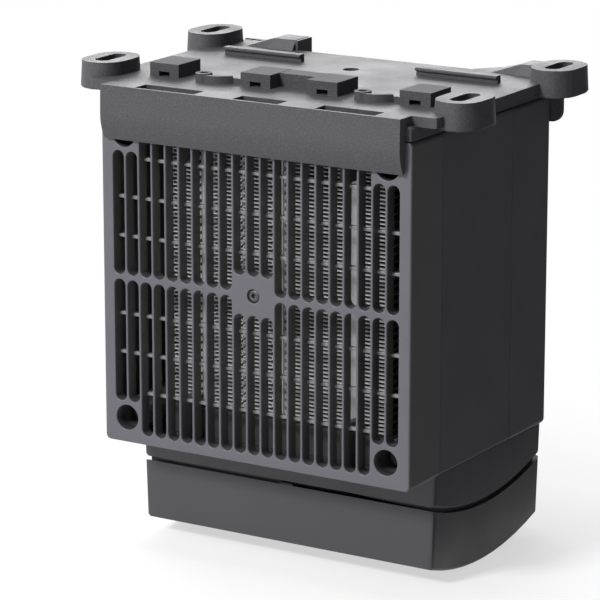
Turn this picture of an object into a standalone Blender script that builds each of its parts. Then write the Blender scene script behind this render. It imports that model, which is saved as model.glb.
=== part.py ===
"""Enclosure heater: a finned heating element and an axial fan in a moulded case.

The case hangs under a mounting plate with four slotted ears, and the leads are joined in a bow-shaped
compartment below. Lengths are metres, +Z is up and the grille faces -Y. Every piece is modelled from the
foot of the front panel: X from the middle, Y backwards from the panel, Z upwards from the case floor.
"""

import math

import bmesh
import bpy
from mathutils import Matrix, Vector

# Case
HOUSING_WIDTH = 0.127
HOUSING_HEIGHT = 0.1234
HOUSING_DEPTH = 0.102
HOUSING_WALL = 0.0018
HOUSING_CORNER = 0.002
FRONT_SECTION = 0.022
REAR_SECTION = 0.029
GAP = 0.0003
SEAM_CHAMFER = 0.0006
LIP_LENGTH = 0.0016
RIM_WALL = 0.00075
EDGE_ROUND = 0.0007
BACK_ROUND = 0.002
BACK_WALL = 0.002
CORNER_STEPS = 2

# Front grille
PANEL_DEPTH = 0.0036
SLOT_SIDE_MARGIN = 0.0044
SLOT_WIDTH = 0.00475
BAR_WIDTH = 0.0009
SLOT_MARGIN = 0.0036
CORNER_SLOTS = 2
CORNER_SLOT_MARGIN = 0.0155
SLOT_HALF_GAP = 0.0009
BOSS_SLOTS = 3
BOSS_HALF_HEIGHT = 0.0071
SLOT_STEPS = 4
CROSS_BARS = 3
CROSS_BAR_SPACING = 0.0144
CROSS_BAR_HEIGHT = 0.0013
CROSS_BAR_SETBACK = 0.0003
CROSS_BAR_DEPTH = 0.0014
CASE_SCREW_SIDE_INSET = 0.0095
CASE_SCREW_END_INSET = 0.0094
CORNER_HOLE_RADIUS = 0.00465
CORNER_TUBE_WALL = 0.0015
CORNER_HOLE_DEPTH = 0.013
GRILLE_SCREW_HEAD_RADIUS = 0.0022
GRILLE_SCREW_LENGTH = 0.0085
GRILLE_RECESS_DEPTH = 0.0012
GRILLE_SCREW_RADIUS = 0.0011
GRILLE_BOSS_RADIUS = 0.0034
GRILLE_BOSS_LENGTH = 0.0055

# Screws that hold the case together
CASE_SCREW_RADIUS = 0.0018
CASE_SCREW_HEAD_RADIUS = 0.0038
CASE_SCREW_HEAD_HEIGHT = 0.003
CASE_SCREW_LENGTH = 0.028
CORNER_BLOCK = 0.0092

# Heating element
ELEMENT_FRONT = 0.0165
ELEMENT_DEPTH = 0.025
TUBE_COUNT = 3
TUBE_THICKNESS = 0.0046
TUBE_LUG = 0.003
TUBE_LUG_INSET = 0.004
FIN_THICKNESS = 0.0002
FIN_PITCH = 0.00145
FIN_INSET = 0.0006
HOLDER_SIDE_SPACE = 0.0011
HOLDER_OVERHANG = 0.0015
HOLDER_HEIGHT = 0.0107
HOLDER_MARGIN = 0.0015
POST_X = 0.0334
POST_WIDTH = 0.0026
POST_HEIGHT = 0.0163
CUTOUT_RADIUS = 0.0065
CUTOUT_HEIGHT = 0.006
CUTOUT_Y = 0.0325
CUTOUT_FLANGE = 0.0008
CUTOUT_STRIP_OVERLAP = 0.006
CUTOUT_STRIP_MARGIN = 0.0013
CUTOUT_HOLE_RADIUS = 0.0015
CUTOUT_BLADE_LENGTH = 0.0032
CUTOUT_BLADE_WIDTH = 0.004
CUTOUT_BLADE_THICKNESS = 0.0008
CUTOUT_BLADE_SPREAD = 0.0039

# Fan
FAN_CLEARANCE = 0.0004
FAN_DEPTH = 0.0254
FAN_RIM = 0.0025
FAN_HOLE_INSET = 0.007
FAN_HOLE_RADIUS = 0.0022
FAN_CORNER = 0.004
BLADE_COUNT = 7
BLADE_TIP_CLEARANCE = 0.0017
BLADE_ROOT_CHORD = 0.017
BLADE_TIP_CHORD = 0.03
BLADE_ROOT_PITCH = 48
BLADE_TIP_PITCH = 34
BLADE_SWEEP = 16
BLADE_CAMBER = 0.0016
BLADE_THICKNESS = 0.0014
BLADE_SECTIONS = 4
HUB_RADIUS = 0.019
HUB_WALL = 0.0015
HUB_DEPTH = 0.0185
HUB_SETBACK = 0.0012
BEARING_TUBE_SETBACK = 0.003
MOTOR_BASE_DEPTH = 0.003
STRUT_WIDTH = 0.0045
SHAFT_RADIUS = 0.0015
SHAFT_CLEARANCE = 0.0001
BEARING_RADIUS = 0.004
BEARING_WIDTH = 0.003
BEARING_TUBE_WALL = 0.001
STATOR_RADIUS = 0.0155
STATOR_SLOT_WIDTH = 0.004
STATOR_CORE_WALL = 0.002
FAN_SCREW_RADIUS = 0.0017
FAN_SCREW_HEAD_RADIUS = 0.0034
FAN_SCREW_GRIP = 0.012

# Guard in the back wall
GUARD_FIRST_RADIUS = 0.0205
GUARD_SLOT = 0.0055
GUARD_BAR = 0.003
GUARD_SPOKES = 4
GUARD_SPOKE_WIDTH = 0.004
GUARD_MARGIN = 0.004
GUARD_STEPS = 4

# Mounting plate
PLATE_OVERHANG = 0.0076
PLATE_FRONT = 0.0037
PLATE_SETBACK = 0.0115
PLATE_THICKNESS = 0.0033
PLATE_CORNER = 0.0015
DECK_HEIGHT = 0.0049
DECK_THICKNESS = 0.0018
EAR_OFFSET = 0.0093
EAR_FRONT_Y = 0.0199
EAR_BACK_SETBACK = 0.0126
EAR_RADIUS = 0.0084
EAR_HALF_LENGTH = 0.0037
EAR_RISE = 0.0049
EAR_THICKNESS = 0.0098
EAR_DRAFT = 0.0005
EAR_STEPS = 8
EAR_SLOT_RADIUS = 0.0029
EAR_SLOT_HALF_LENGTH = 0.0049
HOOD_END_INSET = 0.0024
HOOD_REACH = 0.0042
HOOD_TOP_REACH = 0.0039
HOOD_HEIGHT = 0.0197
HOOD_CLEARANCE = 0.0004
HOOD_BLADE = 0.0012
HOOD_END_WALL = 0.0015
HOOD_CURVE = 0.0095
HOOD_TIP_BACK = 0.0026
HOOD_CURVE_POWER = 2.2
HOOD_STEPS = 5
HOOD_SLOT_FRONT = -0.0028
HOOD_SLOT_BACK = 0.0041
HOOD_SLOT_MARGINS = (0.0141, 0.0107)
HOOD_SLOT_LENGTHS = (0.0246, 0.0184, 0.0237)
HOOD_MIDDLE_SLOT_LEFT = -0.0065

# Rail clip on the plate
CLIP_FRONT = 0.0195
CLIP_DEPTH = 0.0143
CLIP_HEIGHT = 0.0049
CLIP_WIDTH = 0.0122
CLIP_MARGINS = (0.0156, 0.0115)
CLIP_MIDDLE_LEFT_EDGES = (-0.0171, 0.0103)
CLIP_TUNNEL_WIDTH = 0.0045
CLIP_TUNNEL_HEIGHT = 0.0019
CLIP_TUNNEL_OFFSET = 0.0038
CLIP_ROUND = 0.0004
BRIDGE_FRONT = 0.0257
CHANNEL_WIDTH = 0.0346
RAIL_LENGTH = 0.033
RAIL_MARGINS = (0.0153, 0.0125)
RAIL_HEIGHT = 0.0029
RAIL_LIP_REACH = 0.0012
RAIL_LIP_THICKNESS = 0.001
RAIL_LIP_ROUND = 0.0004
RAIL_WALL = 0.0023
HOOK_X = (-0.0332, 0.0322)
HOOK_Y = 0.0206
HOOK_RING_RADIUS = 0.0031
HOOK_HOLE_RADIUS = 0.0016
HOOK_HEIGHT = 0.003
HOOK_LEAF_RADIUS = 0.0092
HOOK_LEAF_START = 0.0042
HOOK_LEAF_WIDTH = 0.0016
HOOK_LEAF_FIRST = 243
HOOK_LEAF_LAST = 325
HOOK_LEAF_STEPS = 8
HOOK_RIB_WIDTH = 0.0008
HOOK_RIB_HEIGHT = 0.0019
HOOK_RIB_OFFSET = 0.0009
DIMPLE_Y = 0.067
DIMPLE_RADIUS = 0.003
DIMPLE_DEPTH = 0.0011
TONGUE_LEFT_ARM_RIGHT_EDGE = -0.0366
TONGUE_RISE = 0.0036
TONGUE_SETBACK = 0.0023
TONGUE_RAMP = 0.0025
TONGUE_WEB = 0.0012
# Across each rear tongue: distance from its right edge, share of its reach, share of its rise
TONGUE_PROFILE = (
    (0.0301, 0, 0),
    (0.0262, 0.55, 0),
    (0.0222, 1, 0.02),
    (0.016, 1, 0.48),
    (0.012, 1, 0.87),
    (0.0103, 1, 1),
    (TONGUE_WEB, 1, 1),
)
LUG_INSET = 0.0055
LUG_OVERHANG = 0.0042
LUG_REACH = 0.0018
LUG_DROP = 0.0153
LUG_ROUND = 0.0042
LUG_STEPS = 5

# Connection compartment
NECK_FRONT = 0.0216
NECK_INSET = 0.0017
NECK_HEIGHT = 0.0113
NECK_FLOOR = 0.002
GROOVE_HEIGHT = 0.0015
GROOVE_DEPTH = 0.0018
SPIGOT_LENGTH = 0.0035
SPIGOT_WALL = 0.0015
COVER_WALL = 0.002
COVER_HEIGHT = 0.0218
COVER_DRAFT = 0.03
COVER_EDGE = 0.0009
COVER_CORNER = 0.0018
BOW = 0.007
BOW_STEPS = 10
TAB_HALF_WIDTH = 0.0026
INLET_RADIUS = 0.0055
INLET_X = 0.03
INLET_DROP = 0.0255
GROMMET_FLANGE = 0.0014
GROMMET_HOLE_RADIUS = 0.0036

# Terminals
BLOCK_LENGTH = 0.046
BLOCK_DEPTH = 0.017
BLOCK_HEIGHT = 0.013
BLOCK_SETBACK = 0.0135
POLES = 4
POLE_HOLE_RADIUS = 0.0024
POLE_SCREW_RADIUS = 0.002
POLE_HOLE_DEPTH = 0.009
WIRE_HOLE = 0.0032
CLAMP_LENGTH = 0.026
CLAMP_WIDTH = 0.008
CLAMP_HEIGHT = 0.006
CLAMP_SETBACK = 0.02
CLAMP_SCREW_SPREAD = 0.017
CLAMP_SCREW_RADIUS = 0.0015
CLAMP_SCREW_HEAD = 0.0028
CLAMP_SCREW_HEAD_HEIGHT = 0.002
CLAMP_POST_RADIUS = 0.0035
CLAMP_PILOT_DEPTH = 0.007
COVER_SCREW_INSET = 0.0158
COVER_SCREW_RADIUS = 0.0015
COVER_SCREW_HEAD = 0.003
COVER_SCREW_HEAD_HEIGHT = 0.002
COVER_RECESS_DEPTH = 0.003
COVER_BOSS_HEIGHT = 0.004
COVER_POST_RADIUS = 0.0045
COVER_SCREW_REACH = 0.014
COVER_SCREW_LENGTH = 0.016
BASE_SCREW_INSET = 0.0218
BASE_SCREW_RADIUS = 0.0015
BASE_SCREW_HEAD = 0.003
BASE_SCREW_HEAD_HEIGHT = 0.002
BASE_SCREW_LENGTH = 0.0075
BASE_BOSS_RADIUS = 0.0035
BASE_BOSS_SPACE = 0.001
BASE_BOSS_HEIGHT = 0.006
LEAD_RADIUS = 0.0009
LEAD_HOLE_SETBACK = 0.0075
LEAD_HOLE_DEPTH = 0.010
LEAD_HOLE_WIDTH = 0.030
LEAD_STEPS = 2
HEATER_LEAD_Z = 0.008
FAN_LEAD_X = 0.005
FAN_LEAD_Z = 0.0035

# Places and sizes that follow
HALF_WIDTH = HOUSING_WIDTH / 2
MIDDLE_Z = HOUSING_HEIGHT / 2
MIDDLE_SEAM = HOUSING_DEPTH - REAR_SECTION
COMPARTMENT_DEPTH = GAP + NECK_HEIGHT + GROOVE_HEIGHT + COVER_HEIGHT + BOW
BACK_OF_ALL = HOUSING_DEPTH + LUG_REACH
FRONT_Y = (HOOD_REACH - BACK_OF_ALL) / 2
FLOOR_Z = COMPARTMENT_DEPTH
CASE_SCREW_X = HALF_WIDTH - CASE_SCREW_SIDE_INSET
CASE_SCREW_Z = MIDDLE_Z - CASE_SCREW_END_INSET
SLOT_PITCH = SLOT_WIDTH + BAR_WIDTH
SLOT_COUNT = int((HOUSING_WIDTH - 2 * SLOT_SIDE_MARGIN + BAR_WIDTH) / SLOT_PITCH)
CROSS_BAR_BACK = PANEL_DEPTH + CROSS_BAR_SETBACK + CROSS_BAR_DEPTH
MIDDLE_INNER_FRONT = FRONT_SECTION + LIP_LENGTH + 2 * GAP
ELEMENT_HEIGHT = HOUSING_HEIGHT - 2 * (HOUSING_WALL + 2 * GAP + HOLDER_HEIGHT)
ELEMENT_FOOT = MIDDLE_Z - ELEMENT_HEIGHT / 2
ELEMENT_BACK = ELEMENT_FRONT + ELEMENT_DEPTH
FAN_SIZE = min(HOUSING_WIDTH, HOUSING_HEIGHT) - 2 * (HOUSING_WALL + FAN_CLEARANCE)
FAN_BACK = HOUSING_DEPTH - BACK_WALL - GAP
FAN_FRONT = FAN_BACK - FAN_DEPTH
FAN_BORE_RADIUS = FAN_SIZE / 2 - FAN_RIM
FAN_HOLE_X = FAN_SIZE / 2 - FAN_HOLE_INSET
FAN_SCREW_LENGTH = BACK_WALL + GAP + FAN_DEPTH + FAN_SCREW_GRIP
CORNER_BLOCK_X = min(CASE_SCREW_X, FAN_HOLE_X) - CORNER_BLOCK / 2
CORNER_BLOCK_Z = min(CASE_SCREW_Z, FAN_HOLE_X) - CORNER_BLOCK / 2
HOLDER_HALF_WIDTH = CORNER_BLOCK_X - HOLDER_SIDE_SPACE
TUBE_PITCH = 2 * (HOLDER_HALF_WIDTH - HOLDER_OVERHANG) / TUBE_COUNT
BLADE_TIP_RADIUS = FAN_BORE_RADIUS - BLADE_TIP_CLEARANCE
HUB_FRONT = FAN_FRONT + HUB_SETBACK
BEARING_TUBE_FRONT = HUB_FRONT + HUB_WALL + BEARING_TUBE_SETBACK
MOTOR_BASE_FRONT = FAN_BACK - MOTOR_BASE_DEPTH
GUARD_REACH = FAN_BORE_RADIUS - GUARD_MARGIN
GUARD_RINGS = int((GUARD_REACH - GUARD_FIRST_RADIUS + GUARD_BAR) / (GUARD_SLOT + GUARD_BAR))
DECK_BASE = HOUSING_HEIGHT + GAP
DECK_TOP = DECK_BASE + DECK_HEIGHT
PLATE_TOP = DECK_TOP + PLATE_THICKNESS
PLATE_HALF_WIDTH = HALF_WIDTH + PLATE_OVERHANG
PLATE_BACK = HOUSING_DEPTH - PLATE_SETBACK
PLATE_JOIN = PLATE_TOP - PLATE_THICKNESS / 2
EAR_TOP = PLATE_TOP + EAR_RISE
EAR_X = HALF_WIDTH + EAR_OFFSET
EAR_BACK_Y = HOUSING_DEPTH - EAR_BACK_SETBACK
HOOD_HALF_WIDTH = HALF_WIDTH - HOOD_END_INSET
HOOD_FOOT = PLATE_TOP - HOOD_HEIGHT
HOOD_SLOT_LEFT_EDGES = (
    HOOD_SLOT_MARGINS[0] - HOOD_HALF_WIDTH,
    HOOD_MIDDLE_SLOT_LEFT,
    HOOD_HALF_WIDTH - HOOD_SLOT_MARGINS[1] - HOOD_SLOT_LENGTHS[2],
)
CLIP_BACK = CLIP_FRONT + CLIP_DEPTH
CLIP_LEFT_EDGES = (
    CLIP_MARGINS[0] - PLATE_HALF_WIDTH,
    *CLIP_MIDDLE_LEFT_EDGES,
    PLATE_HALF_WIDTH - CLIP_MARGINS[1] - CLIP_WIDTH,
)
RAIL_LEFT_EDGES = (RAIL_MARGINS[0] - PLATE_HALF_WIDTH, PLATE_HALF_WIDTH - RAIL_MARGINS[1] - RAIL_LENGTH)
RAIL_LIP_FRONT = CLIP_BACK + CHANNEL_WIDTH
RAIL_WALL_FRONT = RAIL_LIP_FRONT + RAIL_LIP_REACH
RAIL_BACK = RAIL_WALL_FRONT + RAIL_WALL
LUG_INNER = HALF_WIDTH - LUG_INSET
LUG_OUTER = HALF_WIDTH + LUG_OVERHANG
TONGUE_BACK = HOUSING_DEPTH - TONGUE_SETBACK
TONGUE_RIGHT_EDGES = (TONGUE_LEFT_ARM_RIGHT_EDGE, LUG_OUTER)
NECK_HALF_WIDTH = HALF_WIDTH - NECK_INSET
NECK_WALL = GROOVE_DEPTH - GAP
COVER_TOP = -GAP - NECK_HEIGHT - GROOVE_HEIGHT
COVER_FLOOR_Z = COVER_TOP - COVER_HEIGHT - BOW + COVER_WALL
COVER_SCREW_X = NECK_HALF_WIDTH - COVER_SCREW_INSET
COVER_SCREW_Y = (NECK_FRONT + HOUSING_DEPTH) / 2
BASE_SCREW_X = NECK_HALF_WIDTH - BASE_SCREW_INSET
BASE_SCREW_Y = ELEMENT_BACK + HOLDER_MARGIN + BASE_BOSS_RADIUS + BASE_BOSS_SPACE
LEAD_HOLE_Y = MIDDLE_SEAM - LEAD_HOLE_SETBACK
BLOCK_Y = LEAD_HOLE_Y - BLOCK_SETBACK
CLAMP_Y = HOUSING_DEPTH - CLAMP_SETBACK
CLAMP_BASE_Z = -INLET_DROP

for old in list(bpy.data.objects):
    bpy.data.objects.remove(old, do_unlink=True)

parts = bpy.data.collections.new("enclosure_heater")
cutters = bpy.data.collections.new("cutters")
for collection in (parts, cutters):
    bpy.context.scene.collection.children.link(collection)

origin = bpy.data.objects.new("panel_foot", None)
origin.location = (0, FRONT_Y, FLOOR_Z)
parts.objects.link(origin)


def material(name, colour, roughness, metallic=0.0):
    made = bpy.data.materials.new(name)
    made.use_nodes = True
    shader = made.node_tree.nodes["Principled BSDF"]
    shader.inputs["Base Color"].default_value = (*colour, 1)
    shader.inputs["Roughness"].default_value = roughness
    shader.inputs["Metallic"].default_value = metallic
    return made


def add_object(name, mesh, collection):
    made = bpy.data.objects.new(name, mesh)
    collection.objects.link(made)
    made.parent = origin
    return made


def part(name, mesh, colour, roughness, metallic=0.0):
    """A sub-part with its own material, shaded smooth except at sharp edges."""
    made = add_object(name, mesh, parts)
    mesh.materials.append(material(name, colour, roughness, metallic))
    mesh.shade_smooth()
    mesh.set_sharp_from_angle(angle=math.radians(30))
    return made


def boolean(target, operation, mesh):
    """Joins a helper shape to the target or cuts it out, and keeps the helper out of the render."""
    helper = add_object(f"{target.name}_{len(target.modifiers)}_{operation.lower()}", mesh, cutters)
    helper.hide_render = True
    helper.display_type = "WIRE"
    modifier = target.modifiers.new(helper.name, "BOOLEAN")
    modifier.operation = operation
    modifier.object = helper
    return modifier


def cut(target, mesh):
    return boolean(target, "DIFFERENCE", mesh)


def join(target, mesh):
    return boolean(target, "UNION", mesh)


def to_mesh(name, made):
    mesh = bpy.data.meshes.new(name)
    bmesh.ops.recalc_face_normals(made, faces=made.faces)
    if made.calc_volume(signed=True) < 0:
        bmesh.ops.reverse_faces(made, faces=made.faces)
    made.to_mesh(mesh)
    made.free()
    return mesh


def boxes(name, *corners):
    """One mesh of boxes that don't meet, each given as its lowest and highest corner."""
    made = bmesh.new()
    for low, high in corners:
        low, high = Vector(low), Vector(high)
        place = Matrix.Translation((low + high) / 2) @ Matrix.Diagonal((*(high - low), 1))
        bmesh.ops.create_cube(made, size=1, matrix=place)
    return to_mesh(name, made)


AXIS_TURN = {
    "X": Matrix.Rotation(math.pi / 2, 4, "Y"),
    "Y": Matrix.Rotation(-math.pi / 2, 4, "X"),
    "Z": Matrix.Identity(4),
}


def rods(name, axis, segments, *rods_given):
    """One mesh of cylinders or cones: each is its start point, length, first radius and last radius."""
    made = bmesh.new()
    for start, length, first_radius, last_radius in rods_given:
        middle = Vector(start) + AXIS_TURN[axis] @ Vector((0, 0, length / 2))
        bmesh.ops.create_cone(
            made,
            cap_ends=True,
            segments=segments,
            radius1=first_radius,
            radius2=last_radius,
            depth=length,
            matrix=Matrix.Translation(middle) @ AXIS_TURN[axis],
        )
    return to_mesh(name, made)


def arc(centre, radius, start, end, steps):
    """Points along an arc, with its angles in degrees."""
    angles = [math.radians(start + (end - start) * i / steps) for i in range(steps + 1)]
    return [(centre[0] + radius * math.cos(a), centre[1] + radius * math.sin(a)) for a in angles]


def circle(centre, radius, count):
    return arc(centre, radius, 0, 360 - 360 / count, count - 1)


def rounded_rectangle(low, high, radius, steps=CORNER_STEPS):
    corners = (
        ((high[0] - radius, high[1] - radius), 0),
        ((low[0] + radius, high[1] - radius), 90),
        ((low[0] + radius, low[1] + radius), 180),
        ((high[0] - radius, low[1] + radius), 270),
    )
    return [point for centre, start in corners for point in arc(centre, radius, start, start + 90, steps)]


def stadium(centre, radius, half_length, steps):
    """An outline with round ends, long along its second direction."""
    top = arc((centre[0], centre[1] + half_length), radius, 0, 180, steps)
    return top + arc((centre[0], centre[1] - half_length), radius, 180, 360, steps)


FLAT_TURN = {
    "X": Matrix(((0, 0, 1, 0), (1, 0, 0, 0), (0, 1, 0, 0), (0, 0, 0, 1))),
    "Y": Matrix.Rotation(math.pi / 2, 4, "X"),
    "Z": Matrix.Identity(4),
}


def flat(name, outlines, axis, low, high):
    """A flat shape of the given outlines, where inner ones are holes, from low to high along the axis."""
    curve = bpy.data.curves.new(name, "CURVE")
    curve.dimensions = "2D"
    curve.fill_mode = "BOTH"
    curve.extrude = (high - low) / 2
    for outline in outlines:
        spline = curve.splines.new("POLY")
        spline.points.add(len(outline) - 1)
        for point, (u, v) in zip(spline.points, outline):
            point.co = (u, v, 0, 1)
        spline.use_cyclic_u = True
    holder = bpy.data.objects.new(name, curve)
    bpy.context.scene.collection.objects.link(holder)
    graph = bpy.context.evaluated_depsgraph_get()
    mesh = bpy.data.meshes.new_from_object(holder.evaluated_get(graph))
    bpy.data.objects.remove(holder)
    made = bmesh.new()
    made.from_mesh(mesh)
    bmesh.ops.remove_doubles(made, verts=made.verts, dist=1e-6)
    shift = Vector([(low + high) / 2 if letter == axis else 0 for letter in "XYZ"])
    bmesh.ops.transform(made, matrix=Matrix.Translation(shift) @ FLAT_TURN[axis], verts=made.verts)
    return to_mesh(name, made)


def loft(name, sections, ring=False):
    """A skin over sections of equally many points. It closes on itself as a ring, or is capped."""
    made = bmesh.new()
    loops = [[made.verts.new(point) for point in section] for section in sections]
    count = len(loops[0])
    pairs = list(zip(loops, loops[1:]))
    if ring:
        pairs.append((loops[-1], loops[0]))
    else:
        made.faces.new(loops[0])
        made.faces.new(loops[-1])
    for first, second in pairs:
        for i in range(count):
            j = (i + 1) % count
            made.faces.new((first[i], first[j], second[j], second[i]))
    return to_mesh(name, made)


def case_section(inset, y):
    """The case's rounded rectangle, this far inside its outer face, in the plane at depth y."""
    half_width = HALF_WIDTH - inset
    radius = max(HOUSING_CORNER - inset, HOUSING_CORNER / 4)
    outline = rounded_rectangle((-half_width, inset), (half_width, HOUSING_HEIGHT - inset), radius)
    return [(u, y, v) for u, v in outline]


def case_corners(x, z):
    """The four places at this distance either side of the middle of the panel."""
    return [(i * x, MIDDLE_Z + j * z) for i in (-1, 1) for j in (-1, 1)]


def slot_outlines():
    """The grille's slots: two in each column, short at the corners and round the middle boss."""
    outlines = []
    radius = SLOT_WIDTH / 2
    middle = (SLOT_COUNT - 1) / 2
    for column in range(SLOT_COUNT):
        x = (column - middle) * SLOT_PITCH
        at_corner = min(column, SLOT_COUNT - 1 - column) < CORNER_SLOTS
        foot = CORNER_SLOT_MARGIN if at_corner else SLOT_MARGIN
        near_boss = abs(column - middle) <= BOSS_SLOTS / 2
        head = MIDDLE_Z - (BOSS_HALF_HEIGHT if near_boss else SLOT_HALF_GAP)
        half_length = (head - foot) / 2 - radius
        for side in (-1, 1):
            centre_z = MIDDLE_Z + side * (MIDDLE_Z - (head + foot) / 2)
            outlines.append(stadium((x, centre_z), radius, half_length, SLOT_STEPS))
    return outlines


def front_grille():
    lip = RIM_WALL + GAP
    profile = (
        (EDGE_ROUND, 0),
        (EDGE_ROUND * 0.3, EDGE_ROUND * 0.3),
        (0, EDGE_ROUND),
        (0, FRONT_SECTION - SEAM_CHAMFER),
        (SEAM_CHAMFER, FRONT_SECTION),
        (lip, FRONT_SECTION),
        (lip, FRONT_SECTION + LIP_LENGTH),
        (HOUSING_WALL, FRONT_SECTION + LIP_LENGTH),
        (HOUSING_WALL, PANEL_DEPTH),
    )
    mesh = loft("front_grille", [case_section(inset, y) for inset, y in profile])
    grille = part("front_grille", mesh, (0.028, 0.028, 0.032), 0.5)
    places = case_corners(CASE_SCREW_X, CASE_SCREW_Z)
    start = PANEL_DEPTH / 2
    tube_radius = CORNER_HOLE_RADIUS + CORNER_TUBE_WALL
    tube_length = MIDDLE_INNER_FRONT - GAP - start
    tubes = [((x, start, z), tube_length, tube_radius, tube_radius) for x, z in places]
    boss = (0, start, MIDDLE_Z), GRILLE_BOSS_LENGTH, GRILLE_BOSS_RADIUS, GRILLE_BOSS_RADIUS
    join(grille, rods("tubes", "Y", 16, boss, *tubes))
    cut(grille, flat("slots", slot_outlines(), "Y", -GAP, PANEL_DEPTH + GAP))
    bar_half = HALF_WIDTH - HOUSING_WALL / 2
    bars = []
    for i in range(1, CROSS_BARS + 1):
        for z in (MIDDLE_Z - i * CROSS_BAR_SPACING, MIDDLE_Z + i * CROSS_BAR_SPACING):
            low = (-bar_half, CROSS_BAR_BACK - CROSS_BAR_DEPTH, z - CROSS_BAR_HEIGHT / 2)
            high = (bar_half, CROSS_BAR_BACK, z + CROSS_BAR_HEIGHT / 2)
            bars.append((low, high))
    join(grille, boxes("cross_bars", *bars))
    hole_depth = CORNER_HOLE_DEPTH + GAP
    holes = [((x, -GAP, z), hole_depth, CORNER_HOLE_RADIUS, CORNER_HOLE_RADIUS) for x, z in places]
    radius = GRILLE_SCREW_HEAD_RADIUS + GAP
    recess = (0, -GAP, MIDDLE_Z), GRILLE_RECESS_DEPTH + 2 * GAP, radius, radius
    cut(grille, rods("screw_heads", "Y", 20, recess, *holes))
    radius = CASE_SCREW_RADIUS + GAP
    shanks = [((x, -GAP, z), HOUSING_DEPTH / 2, radius, radius) for x, z in places]
    radius = GRILLE_SCREW_RADIUS + GAP
    pilot = (0, -GAP, MIDDLE_Z), FRONT_SECTION, radius, radius
    cut(grille, rods("screw_shanks", "Y", 12, pilot, *shanks))


def steel(name, mesh):
    return part(name, mesh, (0.4, 0.4, 0.42), 0.35, 1)


def screw(name, axis, head_start, head_height, head_radius, length, radius):
    """A screw whose shank follows its head along the axis."""
    direction = AXIS_TURN[axis] @ Vector((0, 0, 1))
    turned = steel(name, rods(name, axis, 12, (head_start, head_height, head_radius, head_radius)))
    shank_start = Vector(head_start) + direction * head_height / 2
    join(turned, rods("shank", axis, 8, (shank_start, length + head_height / 2, radius, radius)))


def case_screws():
    for i, (x, z) in enumerate(case_corners(CASE_SCREW_X, CASE_SCREW_Z), 1):
        screw(
            f"case_screw_{i}",
            "Y",
            (x, CORNER_HOLE_DEPTH - GAP - CASE_SCREW_HEAD_HEIGHT, z),
            CASE_SCREW_HEAD_HEIGHT,
            CASE_SCREW_HEAD_RADIUS,
            CASE_SCREW_LENGTH,
            CASE_SCREW_RADIUS,
        )
    screw(
        "grille_screw",
        "Y",
        (0, 0, MIDDLE_Z),
        GRILLE_RECESS_DEPTH,
        GRILLE_SCREW_HEAD_RADIUS,
        GRILLE_SCREW_LENGTH,
        GRILLE_SCREW_RADIUS,
    )


def middle_housing():
    first = FRONT_SECTION + GAP
    recess = MIDDLE_INNER_FRONT
    last = MIDDLE_SEAM
    lip = RIM_WALL + GAP
    profile = (
        (SEAM_CHAMFER, first),
        (0, first + SEAM_CHAMFER),
        (0, last - SEAM_CHAMFER),
        (SEAM_CHAMFER, last),
        (lip, last),
        (lip, last + LIP_LENGTH),
        (HOUSING_WALL, last + LIP_LENGTH),
        (HOUSING_WALL, recess),
        (RIM_WALL, recess),
        (RIM_WALL, first),
    )
    mesh = loft("middle_housing", [case_section(inset, y) for inset, y in profile], ring=True)
    middle = part("middle_housing", mesh, (0.026, 0.026, 0.028), 0.52)
    blocks = []
    inner_half = HALF_WIDTH - HOUSING_WALL + GAP
    reach_z = MIDDLE_Z - HOUSING_WALL + GAP
    for i in (-1, 1):
        for j in (-1, 1):
            xs = sorted((i * CORNER_BLOCK_X, i * inner_half))
            zs = sorted((MIDDLE_Z + j * CORNER_BLOCK_Z, MIDDLE_Z + j * reach_z))
            blocks.append(((xs[0], recess, zs[0]), (xs[1], FAN_FRONT - GAP, zs[1])))
    join(middle, boxes("corner_blocks", *blocks))
    radius = CASE_SCREW_RADIUS + GAP
    depth = CORNER_HOLE_DEPTH + CASE_SCREW_LENGTH + 2 * GAP - FRONT_SECTION
    places = case_corners(CASE_SCREW_X, CASE_SCREW_Z)
    front_holes = [((x, FRONT_SECTION, z), depth, radius, radius) for x, z in places]
    cut(middle, rods("front_holes", "Y", 12, *front_holes))
    radius = FAN_SCREW_RADIUS + GAP
    start = HOUSING_DEPTH - FAN_SCREW_LENGTH - 2 * GAP
    places = case_corners(FAN_HOLE_X, FAN_HOLE_X)
    back_holes = [((x, start, z), FAN_SCREW_LENGTH, radius, radius) for x, z in places]
    cut(middle, rods("back_holes", "Y", 12, *back_holes))
    floor_bosses = []
    floor_holes = []
    radius = BASE_SCREW_RADIUS + GAP
    for side in (-1, 1):
        x = side * BASE_SCREW_X
        foot = (x, BASE_SCREW_Y, HOUSING_WALL / 2)
        floor_bosses.append((foot, BASE_BOSS_HEIGHT, BASE_BOSS_RADIUS, BASE_BOSS_RADIUS))
        floor_holes.append(((x, BASE_SCREW_Y, -GAP), HOUSING_WALL + BASE_BOSS_HEIGHT, radius, radius))
    join(middle, rods("floor_bosses", "Z", 16, *floor_bosses))
    cut(middle, rods("floor_holes", "Z", 12, *floor_holes))
    cut(middle, lead_opening("lead_hole", -HOUSING_WALL, 2 * HOUSING_WALL))


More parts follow.
